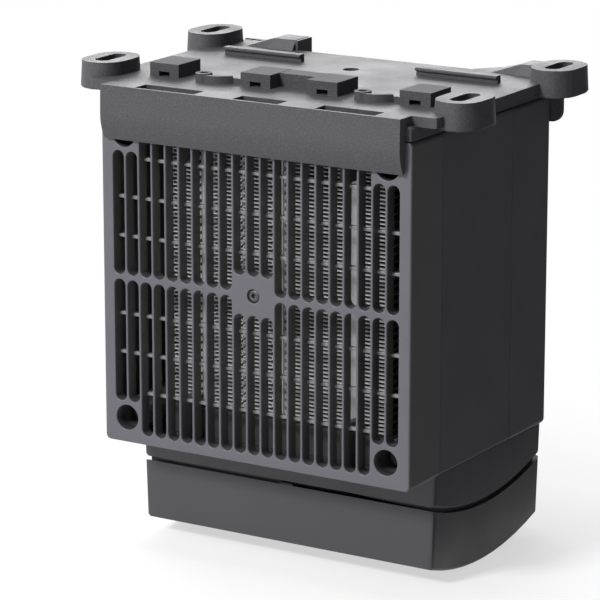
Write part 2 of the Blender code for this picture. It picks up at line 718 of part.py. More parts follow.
def guard_outlines():
    """The openings of the guard: rings cut by spokes, about the fan's axis."""
    outlines = []
    for ring in range(GUARD_RINGS):
        inner = GUARD_FIRST_RADIUS + ring * (GUARD_SLOT + GUARD_BAR)
        outer = inner + GUARD_SLOT
        for spoke in range(GUARD_SPOKES):
            first = 360 / GUARD_SPOKES * (spoke + 0.5)
            last = first + 360 / GUARD_SPOKES
            trim_inner = math.degrees(GUARD_SPOKE_WIDTH / 2 / inner)
            trim_outer = math.degrees(GUARD_SPOKE_WIDTH / 2 / outer)
            outline = arc((0, MIDDLE_Z), outer, first + trim_outer, last - trim_outer, GUARD_STEPS)
            outline += arc((0, MIDDLE_Z), inner, last - trim_inner, first + trim_inner, GUARD_STEPS)
            outlines.append(outline)
    return outlines


def rear_housing():
    first = MIDDLE_SEAM + GAP
    recess = first + LIP_LENGTH + GAP
    round_centre = (BACK_ROUND, HOUSING_DEPTH - BACK_ROUND)
    round_points = arc(round_centre, BACK_ROUND, 90, 180, CORNER_STEPS)
    profile = round_points + [
        (0, first + SEAM_CHAMFER),
        (SEAM_CHAMFER, first),
        (RIM_WALL, first),
        (RIM_WALL, recess),
        (HOUSING_WALL, recess),
        (HOUSING_WALL, HOUSING_DEPTH - BACK_WALL),
    ]
    mesh = loft("rear_housing", [case_section(inset, y) for inset, y in profile])
    rear = part("rear_housing", mesh, (0.026, 0.026, 0.028), 0.52)
    cut(rear, flat("guard", guard_outlines(), "Y", HOUSING_DEPTH - 2 * BACK_WALL, HOUSING_DEPTH + GAP))
    start = HOUSING_DEPTH - BACK_WALL - GAP
    shank = FAN_SCREW_RADIUS + GAP
    head = FAN_SCREW_HEAD_RADIUS + 2 * GAP
    places = case_corners(FAN_HOLE_X, FAN_HOLE_X)
    holes = [((x, start, z), BACK_WALL + 2 * GAP, shank, head) for x, z in places]
    cut(rear, rods("countersinks", "Y", 16, *holes))


def fan_screws():
    """Countersunk screws from the back wall through the fan's corners."""
    head_height = FAN_SCREW_HEAD_RADIUS - FAN_SCREW_RADIUS
    radius = FAN_SCREW_RADIUS
    for i, (x, z) in enumerate(case_corners(FAN_HOLE_X, FAN_HOLE_X), 1):
        name = f"fan_screw_{i}"
        shank = (x, HOUSING_DEPTH - FAN_SCREW_LENGTH, z), FAN_SCREW_LENGTH - head_height / 2, radius, radius
        turned = steel(name, rods(name, "Y", 8, shank))
        head = (x, HOUSING_DEPTH - head_height, z), head_height, radius, FAN_SCREW_HEAD_RADIUS
        join(turned, rods("head", "Y", 12, head))


def fin_sections(left, right, foot, top):
    """Sections of a strip that is folded to and fro between two sides on its way up."""
    front = ELEMENT_FRONT + FIN_INSET
    back = ELEMENT_BACK - FIN_INSET
    count = int((top - foot) / FIN_PITCH)
    rise = (top - foot) / count
    bend = FIN_THICKNESS * (right - left) / rise
    sections = []
    for i in range(count + 1):
        x = (left, right - bend)[i % 2]
        z = foot + i * rise
        sections.append([(x, front, z), (x, back, z), (x + bend, back, z), (x + bend, front, z)])
    return sections


def heating_element():
    fin_width = (TUBE_PITCH - TUBE_THICKNESS) / 2 - GAP * 1.5
    top = ELEMENT_FOOT + ELEMENT_HEIGHT
    bank = 0
    for i in range(TUBE_COUNT):
        x = (i - (TUBE_COUNT - 1) / 2) * TUBE_PITCH
        name = f"heater_tube_{i + 1}"
        half = TUBE_THICKNESS / 2
        outline = rounded_rectangle((x - half, ELEMENT_FRONT), (x + half, ELEMENT_BACK), half / 2, 2)
        tube = part(name, flat(name, [outline], "Z", ELEMENT_FOOT, top), (0.75, 0.76, 0.77), 0.35, 1)
        lug_half = half - FIN_INSET
        lug = (
            (x - lug_half, ELEMENT_FRONT + TUBE_LUG_INSET, ELEMENT_FOOT - TUBE_LUG),
            (x + lug_half, ELEMENT_BACK - TUBE_LUG_INSET, top + TUBE_LUG),
        )
        join(tube, boxes("lugs", lug))
        for left in (x - half - GAP - fin_width, x + half + GAP):
            bank += 1
            name = f"fin_bank_{bank}"
            sections = fin_sections(left, left + fin_width, ELEMENT_FOOT + GAP, top - GAP)
            part(name, loft(name, sections), (0.8, 0.81, 0.82), 0.3, 1)


def element_holders():
    """End holders across the tubes, with posts that reach forward to the grille."""
    inner_face = HOUSING_WALL + GAP
    for name, side in (("element_holder_bottom", -1), ("element_holder_top", 1)):
        outer = MIDDLE_Z - inner_face
        inner = ELEMENT_HEIGHT / 2 + GAP
        zs = sorted((MIDDLE_Z + side * outer, MIDDLE_Z + side * inner))
        front = ELEMENT_FRONT - HOLDER_MARGIN
        back = ELEMENT_BACK + HOLDER_MARGIN
        bar = boxes(name, ((-HOLDER_HALF_WIDTH, front, zs[0]), (HOLDER_HALF_WIDTH, back, zs[1])))
        holder = part(name, bar, (0.42, 0.42, 0.4), 0.6)
        reach = MIDDLE_Z - inner_face - POST_HEIGHT
        post_zs = sorted((MIDDLE_Z + side * (outer - GAP), MIDDLE_Z + side * reach))
        posts = []
        for x in (-POST_X, POST_X):
            low = (x - POST_WIDTH / 2, CROSS_BAR_BACK + GAP, post_zs[0])
            high = (x + POST_WIDTH / 2, front + HOLDER_MARGIN / 2, post_zs[1])
            posts.append((low, high))
        join(holder, boxes("posts", *posts))
        pockets = []
        lug_half = TUBE_THICKNESS / 2 - FIN_INSET + GAP
        for i in range(TUBE_COUNT):
            x = (i - (TUBE_COUNT - 1) / 2) * TUBE_PITCH
            depth = sorted((MIDDLE_Z + side * (inner - 2 * GAP), MIDDLE_Z + side * (inner + TUBE_LUG)))
            low = (x - lug_half, ELEMENT_FRONT + TUBE_LUG_INSET - GAP, depth[0])
            high = (x + lug_half, ELEMENT_BACK - TUBE_LUG_INSET + GAP, depth[1])
            pockets.append((low, high))
        cut(holder, boxes("pockets", *pockets))


def thermal_cutout():
    """A snap-disc switch beside the element, on a strip that stands on the lower holder's end."""
    strip_x = HOLDER_HALF_WIDTH + GAP
    half = CUTOUT_RADIUS + CUTOUT_STRIP_MARGIN
    low = (strip_x, CUTOUT_Y - half, ELEMENT_FOOT - CUTOUT_STRIP_OVERLAP)
    high = (strip_x + CUTOUT_FLANGE, CUTOUT_Y + half, MIDDLE_Z + CUTOUT_RADIUS)
    strip = part("cutout_bracket", boxes("cutout_bracket", (low, high)), (0.6, 0.6, 0.6), 0.4, 1)
    z = MIDDLE_Z - CUTOUT_RADIUS
    radius = CUTOUT_HOLE_RADIUS
    cut(strip, rods("hole", "X", 16, ((strip_x - GAP, CUTOUT_Y, z), CUTOUT_FLANGE + 2 * GAP, radius, radius)))
    x = strip_x + CUTOUT_FLANGE + GAP
    body = (x, CUTOUT_Y, z), CUTOUT_HEIGHT, CUTOUT_RADIUS, CUTOUT_RADIUS
    disc = part("thermal_cutout", rods("thermal_cutout", "X", 24, body), (0.02, 0.02, 0.02), 0.4)
    blades = []
    for side in (-1, 1):
        y = CUTOUT_Y + side * CUTOUT_BLADE_SPREAD
        low = (x + CUTOUT_HEIGHT - GAP, y - CUTOUT_BLADE_THICKNESS / 2, z - CUTOUT_BLADE_WIDTH / 2)
        end = x + CUTOUT_HEIGHT + CUTOUT_BLADE_LENGTH
        high = (end, y + CUTOUT_BLADE_THICKNESS / 2, z + CUTOUT_BLADE_WIDTH / 2)
        blades.append((low, high))
    join(disc, boxes("blades", *blades))


def fan():
    """The fan's frame, with the struts and the motor base at its back."""
    half = FAN_SIZE / 2
    outline = rounded_rectangle((-half, MIDDLE_Z - half), (half, MIDDLE_Z + half), FAN_CORNER)
    bore = circle((0, MIDDLE_Z), FAN_BORE_RADIUS, 40)
    holes = [circle(place, FAN_HOLE_RADIUS, 12) for place in case_corners(FAN_HOLE_X, FAN_HOLE_X)]
    mesh = flat("fan_frame", [outline, bore, *holes], "Y", FAN_FRONT, FAN_BACK)
    frame = part("fan_frame", mesh, (0.015, 0.015, 0.016), 0.5)
    reach = FAN_BORE_RADIUS + FAN_RIM / 2
    half = STRUT_WIDTH / 2
    upright = (-half, MOTOR_BASE_FRONT, MIDDLE_Z - reach), (half, FAN_BACK - GAP, MIDDLE_Z + reach)
    level = (-reach, MOTOR_BASE_FRONT + GAP, MIDDLE_Z - half), (reach, FAN_BACK - 2 * GAP, MIDDLE_Z + half)
    join(frame, boxes("upright_struts", upright))
    join(frame, boxes("level_struts", level))
    base = (0, MOTOR_BASE_FRONT - GAP, MIDDLE_Z), MOTOR_BASE_DEPTH, HUB_RADIUS, HUB_RADIUS
    join(frame, rods("motor_base", "Y", 32, base))
    radius = BEARING_RADIUS + GAP + BEARING_TUBE_WALL
    length = MOTOR_BASE_FRONT + GAP - BEARING_TUBE_FRONT
    join(frame, rods("bearing_tube", "Y", 24, ((0, BEARING_TUBE_FRONT, MIDDLE_Z), length, radius, radius)))
    radius = BEARING_RADIUS + GAP
    seat = (0, BEARING_TUBE_FRONT - GAP, MIDDLE_Z), length + GAP, radius, radius
    cut(frame, rods("bearing_seat", "Y", 24, seat))


def fan_motor():
    """Stator, bearings and shaft inside the hub."""
    axis = (0, MIDDLE_Z)
    inner = BEARING_RADIUS + 2 * GAP + BEARING_TUBE_WALL
    start = BEARING_TUBE_FRONT + GAP
    end = MOTOR_BASE_FRONT - 2 * GAP
    mesh = flat("fan_stator", [circle(axis, STATOR_RADIUS, 24), circle(axis, inner, 24)], "Y", start, end)
    stator = part("fan_stator", mesh, (0.5, 0.25, 0.1), 0.4, 0.6)
    half_slot = STATOR_SLOT_WIDTH / 2
    slots = []
    for side in (-1, 1):
        edge = sorted((side * (inner + STATOR_CORE_WALL), side * (STATOR_RADIUS + GAP)))
        low = (edge[0], start - GAP, MIDDLE_Z - half_slot)
        slots.append((low, (edge[1], end + GAP, MIDDLE_Z + half_slot)))
        low = (-half_slot, start - GAP, MIDDLE_Z + edge[0])
        slots.append((low, (half_slot, end + GAP, MIDDLE_Z + edge[1])))
    cut(stator, boxes("coil_slots", *slots))
    rear_bearing = MOTOR_BASE_FRONT - BEARING_WIDTH - 2 * GAP
    for place, y in (("front", BEARING_TUBE_FRONT + GAP), ("rear", rear_bearing)):
        name = f"fan_bearing_{place}"
        outlines = [circle(axis, BEARING_RADIUS, 16), circle(axis, SHAFT_RADIUS + SHAFT_CLEARANCE, 16)]
        part(name, flat(name, outlines, "Y", y, y + BEARING_WIDTH), (0.6, 0.6, 0.62), 0.25, 1)
    start = HUB_FRONT + HUB_WALL + GAP
    shaft = (0, start, MIDDLE_Z), MOTOR_BASE_FRONT - 2 * GAP - start, SHAFT_RADIUS, SHAFT_RADIUS
    part("fan_shaft", rods("fan_shaft", "Y", 16, shaft), (0.7, 0.7, 0.72), 0.2, 1)


def blade_sections(turn):
    """Sections of one blade from root to tip: the chord grows and flattens outwards."""
    sections = []
    root = HUB_RADIUS - HUB_WALL / 2
    outline = ((1, -1), (1, -0.33), (1, 0.33), (1, 1), (-1, 1), (-1, 0.33), (-1, -0.33), (-1, -1))
    for i in range(BLADE_SECTIONS):
        share = i / (BLADE_SECTIONS - 1)
        radius = root + share * (BLADE_TIP_RADIUS - root)
        half_chord = (BLADE_ROOT_CHORD + share * (BLADE_TIP_CHORD - BLADE_ROOT_CHORD)) / 2
        pitch = math.radians(BLADE_ROOT_PITCH + share * (BLADE_TIP_PITCH - BLADE_ROOT_PITCH))
        lag = math.radians(BLADE_SWEEP * share)
        section = []
        for side, along in outline:
            half_thickness = BLADE_THICKNESS / 2 if abs(along) < 1 else BLADE_THICKNESS / 4
            across = side * half_thickness + BLADE_CAMBER * (1 - along * along)
            forward = along * half_chord * math.sin(pitch) + across * math.cos(pitch)
            around = along * half_chord * math.cos(pitch) - across * math.sin(pitch)
            angle = turn + lag + around / radius
            depth = HUB_FRONT + HUB_DEPTH / 2 + forward
            section.append((radius * math.sin(angle), depth, MIDDLE_Z + radius * math.cos(angle)))
        sections.append(section)
    return sections


def fan_rotor():
    hub = (0, HUB_FRONT, MIDDLE_Z), HUB_DEPTH, HUB_RADIUS, HUB_RADIUS
    rotor = part("fan_rotor", rods("fan_rotor", "Y", 28, hub), (0.014, 0.014, 0.015), 0.42)
    for i in range(BLADE_COUNT):
        join(rotor, loft("blade", blade_sections(2 * math.pi * i / BLADE_COUNT)))
    cup_radius = HUB_RADIUS - HUB_WALL
    cut(rotor, rods("cup", "Y", 28, ((0, HUB_FRONT + HUB_WALL, MIDDLE_Z), HUB_DEPTH, cup_radius, cup_radius)))


def ear_column(x, y):
    """An ear: a column with a stadium section that widens a little towards its foot."""
    foot = EAR_TOP - EAR_THICKNESS
    sections = []
    for z, draft in ((EAR_TOP, 0), (foot + 2 * CLIP_ROUND, EAR_DRAFT), (foot, EAR_DRAFT - CLIP_ROUND)):
        outline = stadium((x, y), EAR_RADIUS + draft, EAR_HALF_LENGTH, EAR_STEPS)
        sections.append([(u, v, z) for u, v in outline])
    return loft("ear", sections)


def hood_curve(inset):
    """The lower part of the hood's face, this far behind it, from its start down to the foot."""
    curve = []
    for i in range(HOOD_STEPS + 1):
        share = i / HOOD_STEPS
        back = HOOD_TIP_BACK * share**HOOD_CURVE_POWER
        curve.append((inset - HOOD_REACH + back, HOOD_FOOT + HOOD_CURVE * (1 - share)))
    return curve


def hood_outline():
    """The hood's section: a straight face whose foot curves back towards the grille."""
    return [
        (PLATE_FRONT + HOOD_BLADE, PLATE_TOP),
        (-HOOD_TOP_REACH, PLATE_TOP),
        *hood_curve(0),
        (-HOOD_CLEARANCE, HOOD_FOOT + HOOD_BLADE / 2),
        (-HOOD_CLEARANCE, DECK_TOP - GAP),
        (PLATE_FRONT + HOOD_BLADE, DECK_TOP - GAP),
    ]


def hood_pocket_outline():
    """The space behind the hood's face, open towards the grille."""
    curve = hood_curve(HOOD_BLADE)
    foot = HOOD_FOOT - GAP
    roof = DECK_TOP + GAP / 2
    back = -HOOD_CLEARANCE / 2
    return [(curve[0][0], roof), *curve[:-1], (curve[-1][0], foot), (back, foot), (back, roof)]


def deck_section(inset, z):
    half_width = HALF_WIDTH - inset
    radius = max(HOUSING_CORNER - inset, HOUSING_CORNER / 4)
    outline = rounded_rectangle((-half_width, inset), (half_width, HOUSING_DEPTH - inset), radius)
    return [(u, v, z) for u, v in outline]


def tongue_sections(right):
    """A rear tongue across X: it widens, climbs a straight flank to a small peak and runs on flat."""
    foot = DECK_TOP + GAP
    base = PLATE_TOP - GAP / 2
    front = PLATE_BACK - TONGUE_RAMP - GAP
    sections = []
    for distance, reach, rise in TONGUE_PROFILE:
        x = right - distance
        top = base + GAP + rise * TONGUE_RISE
        back = PLATE_BACK + (TONGUE_BACK - PLATE_BACK) * reach
        outline = ((front, foot), (front, base), (PLATE_BACK - GAP, top), (back, top), (back, foot))
        sections.append([(x, y, z) for y, z in outline])
    return sections


def rail_outline():
    """The hooked rail's section: an upright wall with a lip that overhangs forwards."""
    top = PLATE_TOP + RAIL_HEIGHT
    lip_base = top - RAIL_LIP_THICKNESS
    return [
        (RAIL_BACK, PLATE_JOIN),
        (RAIL_BACK, top),
        (RAIL_LIP_FRONT + RAIL_LIP_ROUND, top),
        (RAIL_LIP_FRONT, top - RAIL_LIP_ROUND),
        (RAIL_LIP_FRONT, lip_base),
        (RAIL_WALL_FRONT, lip_base),
        (RAIL_WALL_FRONT, PLATE_JOIN),
    ]


def hook_leaf(x):
    """A spring leaf in plan: an arc that leaves the ring at its front and sweeps to the right."""
    centre = (x + HOOK_LEAF_START, HOOK_Y + HOOK_LEAF_RADIUS - HOOK_RING_RADIUS)
    outer = arc(centre, HOOK_LEAF_RADIUS, HOOK_LEAF_FIRST, HOOK_LEAF_LAST, HOOK_LEAF_STEPS)
    inner = arc(centre, HOOK_LEAF_RADIUS - HOOK_LEAF_WIDTH, HOOK_LEAF_LAST, HOOK_LEAF_FIRST, HOOK_LEAF_STEPS)
    return outer + inner


def hooks(plate):
    """Two small eyes with spring leaves, each tied to the block on its right by a thin rib."""
    hook_top = PLATE_TOP + HOOK_HEIGHT
    rib_y = HOOK_Y + HOOK_RIB_OFFSET
    for x, clip_edge in zip(HOOK_X, (CLIP_LEFT_EDGES[1], CLIP_LEFT_EDGES[3])):
        ring = (x, HOOK_Y, PLATE_JOIN), hook_top - PLATE_JOIN, HOOK_RING_RADIUS, HOOK_RING_RADIUS
        join(plate, rods("ring", "Z", 16, ring))
        join(plate, flat("leaf", [hook_leaf(x)], "Z", PLATE_JOIN - GAP, hook_top - GAP))
        eye = (x, HOOK_Y, PLATE_TOP + GAP), HOOK_HEIGHT, HOOK_HOLE_RADIUS, HOOK_HOLE_RADIUS
        cut(plate, rods("eye", "Z", 12, eye))
        leaf_end = math.cos(math.radians(HOOK_LEAF_LAST)) * HOOK_LEAF_RADIUS
        rib_left = x + HOOK_LEAF_START + leaf_end - HOOK_LEAF_WIDTH
        high = (clip_edge + HOOK_RIB_WIDTH, rib_y + HOOK_RIB_WIDTH, PLATE_TOP + HOOK_RIB_HEIGHT)
        join(plate, boxes("rib", ((rib_left, rib_y, PLATE_JOIN), high)))


def clip_blocks(plate):
    """Four blocks with a tunnel through each foot, the middle two joined by a bridge."""
    clip_top = PLATE_TOP + CLIP_HEIGHT
    clips = []
    tunnels = []
    for left in CLIP_LEFT_EDGES:
        clips.append(((left, CLIP_FRONT, PLATE_JOIN), (left + CLIP_WIDTH, CLIP_BACK, clip_top)))
        tunnel_left = left + CLIP_TUNNEL_OFFSET
        low = (tunnel_left, CLIP_FRONT - GAP, PLATE_TOP + GAP / 3)
        high = (tunnel_left + CLIP_TUNNEL_WIDTH, CLIP_BACK + GAP, PLATE_TOP + CLIP_TUNNEL_HEIGHT)
        tunnels.append((low, high))
    join(plate, boxes("clip_blocks", *clips))
    low = (CLIP_LEFT_EDGES[1] + CLIP_WIDTH / 2, BRIDGE_FRONT, PLATE_JOIN)
    high = (CLIP_LEFT_EDGES[2] + CLIP_WIDTH / 2, CLIP_BACK - GAP, clip_top - GAP / 3)
    join(plate, boxes("clip_bridge", (low, high)))
    cut(plate, boxes("clip_tunnels", *tunnels))


def mounting_plate():
    profile = (
        (HOUSING_WALL, DECK_TOP - DECK_THICKNESS),
        (HOUSING_WALL, DECK_BASE),
        (0, DECK_BASE),
        (0, DECK_TOP - EDGE_ROUND),
        (EDGE_ROUND, DECK_TOP),
    )
    mesh = loft("mounting_plate", [deck_section(inset, z) for inset, z in profile])
    plate = part("mounting_plate", mesh, (0.05, 0.05, 0.055), 0.5)
    outline = rounded_rectangle((-PLATE_HALF_WIDTH, PLATE_FRONT), (PLATE_HALF_WIDTH, PLATE_BACK), PLATE_CORNER)
    join(plate, flat("slab", [outline], "Z", DECK_TOP - GAP, PLATE_TOP))
    ears = [(x, y) for x in (-EAR_X, EAR_X) for y in (EAR_FRONT_Y, EAR_BACK_Y)]
    for x, y in ears:
        join(plate, ear_column(x, y))
    join(plate, flat("hood", [hood_outline()], "X", -HOOD_HALF_WIDTH, HOOD_HALF_WIDTH))
    pocket_half = HOOD_HALF_WIDTH - HOOD_END_WALL
    cut(plate, flat("hood_pocket", [hood_pocket_outline()], "X", -pocket_half, pocket_half))
    slots = []
    for left, length in zip(HOOD_SLOT_LEFT_EDGES, HOOD_SLOT_LENGTHS):
        low = (left, HOOD_SLOT_FRONT, DECK_TOP - 2 * GAP)
        slots.append((low, (left + length, HOOD_SLOT_BACK, PLATE_TOP + GAP)))
    cut(plate, boxes("hood_slots", *slots))
    clip_blocks(plate)
    for left in RAIL_LEFT_EDGES:
        join(plate, flat("rail", [rail_outline()], "X", left, left + RAIL_LENGTH))
    hooks(plate)
    dimple = (0, DIMPLE_Y, PLATE_TOP - DIMPLE_DEPTH), DIMPLE_DEPTH + GAP, DIMPLE_RADIUS, DIMPLE_RADIUS
    cut(plate, rods("dimple", "Z", 20, dimple))
    for right in TONGUE_RIGHT_EDGES:
        join(plate, loft("tongue", tongue_sections(right)))
        low = (right - 2 * TONGUE_WEB, PLATE_BACK - 2 * GAP, DECK_TOP + 2 * GAP)
        join(plate, boxes("tongue_wall", (low, (right, TONGUE_BACK + GAP, PLATE_TOP + TONGUE_RISE))))
    for side in (-1, 1):
        join(plate, flat("lug", [lug_outline(side)], "Y", HOUSING_DEPTH + GAP, BACK_OF_ALL))
        xs = sorted((side * (LUG_INNER + GAP), side * (LUG_OUTER - GAP)))
        low = (xs[0], PLATE_BACK - 3 * GAP, DECK_TOP + 3 * GAP)
        join(plate, boxes("lug_web", (low, (xs[1], BACK_OF_ALL - 2 * GAP, PLATE_TOP - GAP))))
    ear_slots = [stadium(place, EAR_SLOT_RADIUS, EAR_SLOT_HALF_LENGTH, EAR_STEPS) for place in ears]
    cut(plate, flat("ear_slots", ear_slots, "Z", EAR_TOP - EAR_THICKNESS - GAP, EAR_TOP + GAP))


def lug_outline(side):
    """A lug behind the case's rear edge, with its lower outer corner rounded."""
    foot = DECK_TOP - LUG_DROP
    curve = arc((LUG_OUTER - LUG_ROUND, foot + LUG_ROUND), LUG_ROUND, 270, 360, LUG_STEPS)
    outline = [(LUG_INNER, PLATE_TOP), (LUG_INNER, foot), *curve, (LUG_OUTER, PLATE_TOP)]
    return [(side * u, v) for u, v in outline]


def bow_at(y):
    """How far the compartment's curve hangs below its front edge at this depth."""
    half = (HOUSING_DEPTH - NECK_FRONT) / 2
    radius = (half * half + BOW * BOW) / (2 * BOW)
    middle = NECK_FRONT + half
    offset = min(abs(y - middle), half)
    return math.sqrt(radius * radius - offset * offset) - (radius - BOW)


def compartment_inset(z):
    """How far the compartment's drafted sides have come in at this height."""
    return COVER_DRAFT * max(-z, 0)


def bowed(name, inset, top, bottom, flat_top=False):
    """A block this far inside the compartment's faces, with rounded corners and ends that follow the bow."""
    front = NECK_FRONT + inset
    back = HOUSING_DEPTH - inset
    corner = max(COVER_CORNER - inset, COVER_CORNER / 4)
    stations = []
    for i in range(CORNER_STEPS + 1):
        angle = math.radians(90 * i / CORNER_STEPS)
        stations.append((front + corner * (1 - math.cos(angle)), corner * (1 - math.sin(angle))))
    inner_front = front + corner
    inner_back = back - corner
    for i in range(1, BOW_STEPS):
        stations.append((inner_front + (inner_back - inner_front) * i / BOW_STEPS, 0))
    for i in range(CORNER_STEPS, -1, -1):
        angle = math.radians(90 * i / CORNER_STEPS)
        stations.append((back - corner * (1 - math.cos(angle)), corner * (1 - math.sin(angle))))
    sections = []
    for y, narrowing in stations:
        bow = bow_at(y)
        high = top - (0 if flat_top else bow)
        low = bottom - bow
        half = NECK_HALF_WIDTH - inset - narrowing
        edge = COVER_EDGE if inset == 0 else COVER_EDGE / 2
        half_high = half - compartment_inset(high)
        half_low = half - compartment_inset(low)
        sections.append(
            [
                (-half_high, y, high),
                (half_high, y, high),
                (half_low, y, low + edge),
                (half_low - edge, y, low),
                (-half_low + edge, y, low),
                (-half_low, y, low + edge),
            ]
        )
    return loft(name, sections)


def terminal_base():
    top = -GAP
    foot = -GAP - NECK_HEIGHT
    base = part("terminal_base", bowed("terminal_base", 0, top, foot, flat_top=True), (0.024, 0.024, 0.026), 0.52)
    cut(base, bowed("base_pocket", NECK_WALL, top - NECK_FLOOR, foot - GAP, flat_top=True))
    post_foot = COVER_FLOOR_Z + COVER_BOSS_HEIGHT + GAP
    posts = []
    pilots = []
    radius = COVER_SCREW_RADIUS + GAP
    for side in (-1, 1):
        x = side * COVER_SCREW_X
        post_length = top - GAP - post_foot
        posts.append(((x, COVER_SCREW_Y, post_foot), post_length, COVER_POST_RADIUS, COVER_POST_RADIUS))
        pilots.append(((x, COVER_SCREW_Y, post_foot - GAP), COVER_SCREW_LENGTH, radius, radius))
    join(base, rods("posts", "Z", 16, *posts))
    cut(base, rods("pilots", "Z", 12, *pilots))
    radius = BASE_SCREW_RADIUS + GAP
    holes = []
    for side in (-1, 1):
        start = (side * BASE_SCREW_X, BASE_SCREW_Y, -NECK_FLOOR - 2 * GAP)
        holes.append((start, NECK_FLOOR + 4 * GAP, radius, radius))
    cut(base, rods("base_screw_holes", "Z", 12, *holes))
    cut(base, lead_opening("lead_hole", -NECK_FLOOR - 2 * GAP, GAP))


def lead_opening(name, low, high):
    half_width = LEAD_HOLE_WIDTH / 2
    half_depth = LEAD_HOLE_DEPTH / 2
    return boxes(name, ((-half_width, LEAD_HOLE_Y - half_depth, low), (half_width, LEAD_HOLE_Y + half_depth, high)))


def terminal_cover():
    foot = COVER_TOP - COVER_HEIGHT
    cover = part("terminal_cover", bowed("terminal_cover", 0, COVER_TOP, foot), (0.022, 0.022, 0.024), 0.5)
    rim_top = COVER_TOP + GROOVE_HEIGHT + SPIGOT_LENGTH
    join(cover, bowed("spigot", GROOVE_DEPTH, rim_top, COVER_TOP - SPIGOT_LENGTH))
    cut(cover, bowed("spigot_pocket", GROOVE_DEPTH + SPIGOT_WALL, rim_top + GAP, COVER_TOP - SPIGOT_LENGTH))
    cut(cover, bowed("cover_pocket", COVER_WALL, COVER_TOP - SPIGOT_LENGTH + GAP, foot + COVER_WALL))
    tab_back = NECK_FRONT + GROOVE_DEPTH + GAP
    tab_top = COVER_TOP + GROOVE_HEIGHT - GAP - bow_at(tab_back)
    tab = (-TAB_HALF_WIDTH, NECK_FRONT + GAP, COVER_TOP - 2 * GAP), (TAB_HALF_WIDTH, tab_back, tab_top)
    join(cover, boxes("tab", tab))
    bosses = []
    recesses = []
    holes = []
    base = COVER_FLOOR_Z - COVER_WALL
    for side in (-1, 1):
        x = side * COVER_SCREW_X
        start = (x, COVER_SCREW_Y, COVER_FLOOR_Z - COVER_WALL / 2)
        bosses.append((start, COVER_BOSS_HEIGHT + COVER_WALL / 2, COVER_POST_RADIUS, COVER_POST_RADIUS))
        radius = COVER_SCREW_HEAD + GAP
        recesses.append(((x, COVER_SCREW_Y, base - 2 * GAP), COVER_RECESS_DEPTH + 2 * GAP, radius, radius))
        radius = COVER_SCREW_RADIUS + GAP
        holes.append(((x, COVER_SCREW_Y, base), COVER_WALL + COVER_BOSS_HEIGHT + GAP, radius, radius))
    join(cover, rods("bosses", "Z", 16, *bosses))
    clamp_foot = CLAMP_BASE_Z - GAP
    supports = []
    pilots = []
    for side in (-1, 1):
        x = INLET_X + side * CLAMP_SCREW_SPREAD / 2
        start = foot + COVER_WALL / 2 - bow_at(CLAMP_Y)
        supports.append(((x, CLAMP_Y, start), clamp_foot - start, CLAMP_POST_RADIUS, CLAMP_POST_RADIUS))
        radius = CLAMP_SCREW_RADIUS + GAP
        pilots.append(((x, CLAMP_Y, clamp_foot - CLAMP_PILOT_DEPTH), CLAMP_PILOT_DEPTH + GAP, radius, radius))
    join(cover, rods("clamp_posts", "Z", 16, *supports))
    cut(cover, rods("clamp_pilots", "Z", 12, *pilots))
    cut(cover, rods("screw_recesses", "Z", 16, *recesses))
    cut(cover, rods("screw_holes", "Z", 12, *holes))
    inlet_start = HOUSING_DEPTH - 2 * COVER_WALL
    radius = INLET_RADIUS + GAP
    cut(cover, rods("inlet", "Y", 16, ((INLET_X, inlet_start, -INLET_DROP), 3 * COVER_WALL, radius, radius)))


def cord_grommet():
    """The inlet's rubber ring: a sleeve through the back wall with a flange inside."""
    wall_inner = HOUSING_DEPTH - COVER_WALL
    start = wall_inner - GAP - GROMMET_FLANGE
    radius = INLET_RADIUS
    sleeve = (INLET_X, start, -INLET_DROP), HOUSING_DEPTH - start, radius, radius
    grommet = part("cord_grommet", rods("cord_grommet", "Y", 16, sleeve), (0.012, 0.012, 0.012), 0.7)
    flange_radius = INLET_RADIUS + GROMMET_FLANGE
    flange = (INLET_X, start - GAP, -INLET_DROP), GROMMET_FLANGE, flange_radius, flange_radius
    join(grommet, rods("flange", "Y", 16, flange))
    radius = GROMMET_HOLE_RADIUS
    bore = (INLET_X, start - 2 * GAP, -INLET_DROP), HOUSING_DEPTH - start + 4 * GAP, radius, radius
    cut(grommet, rods("bore", "Y", 12, bore))


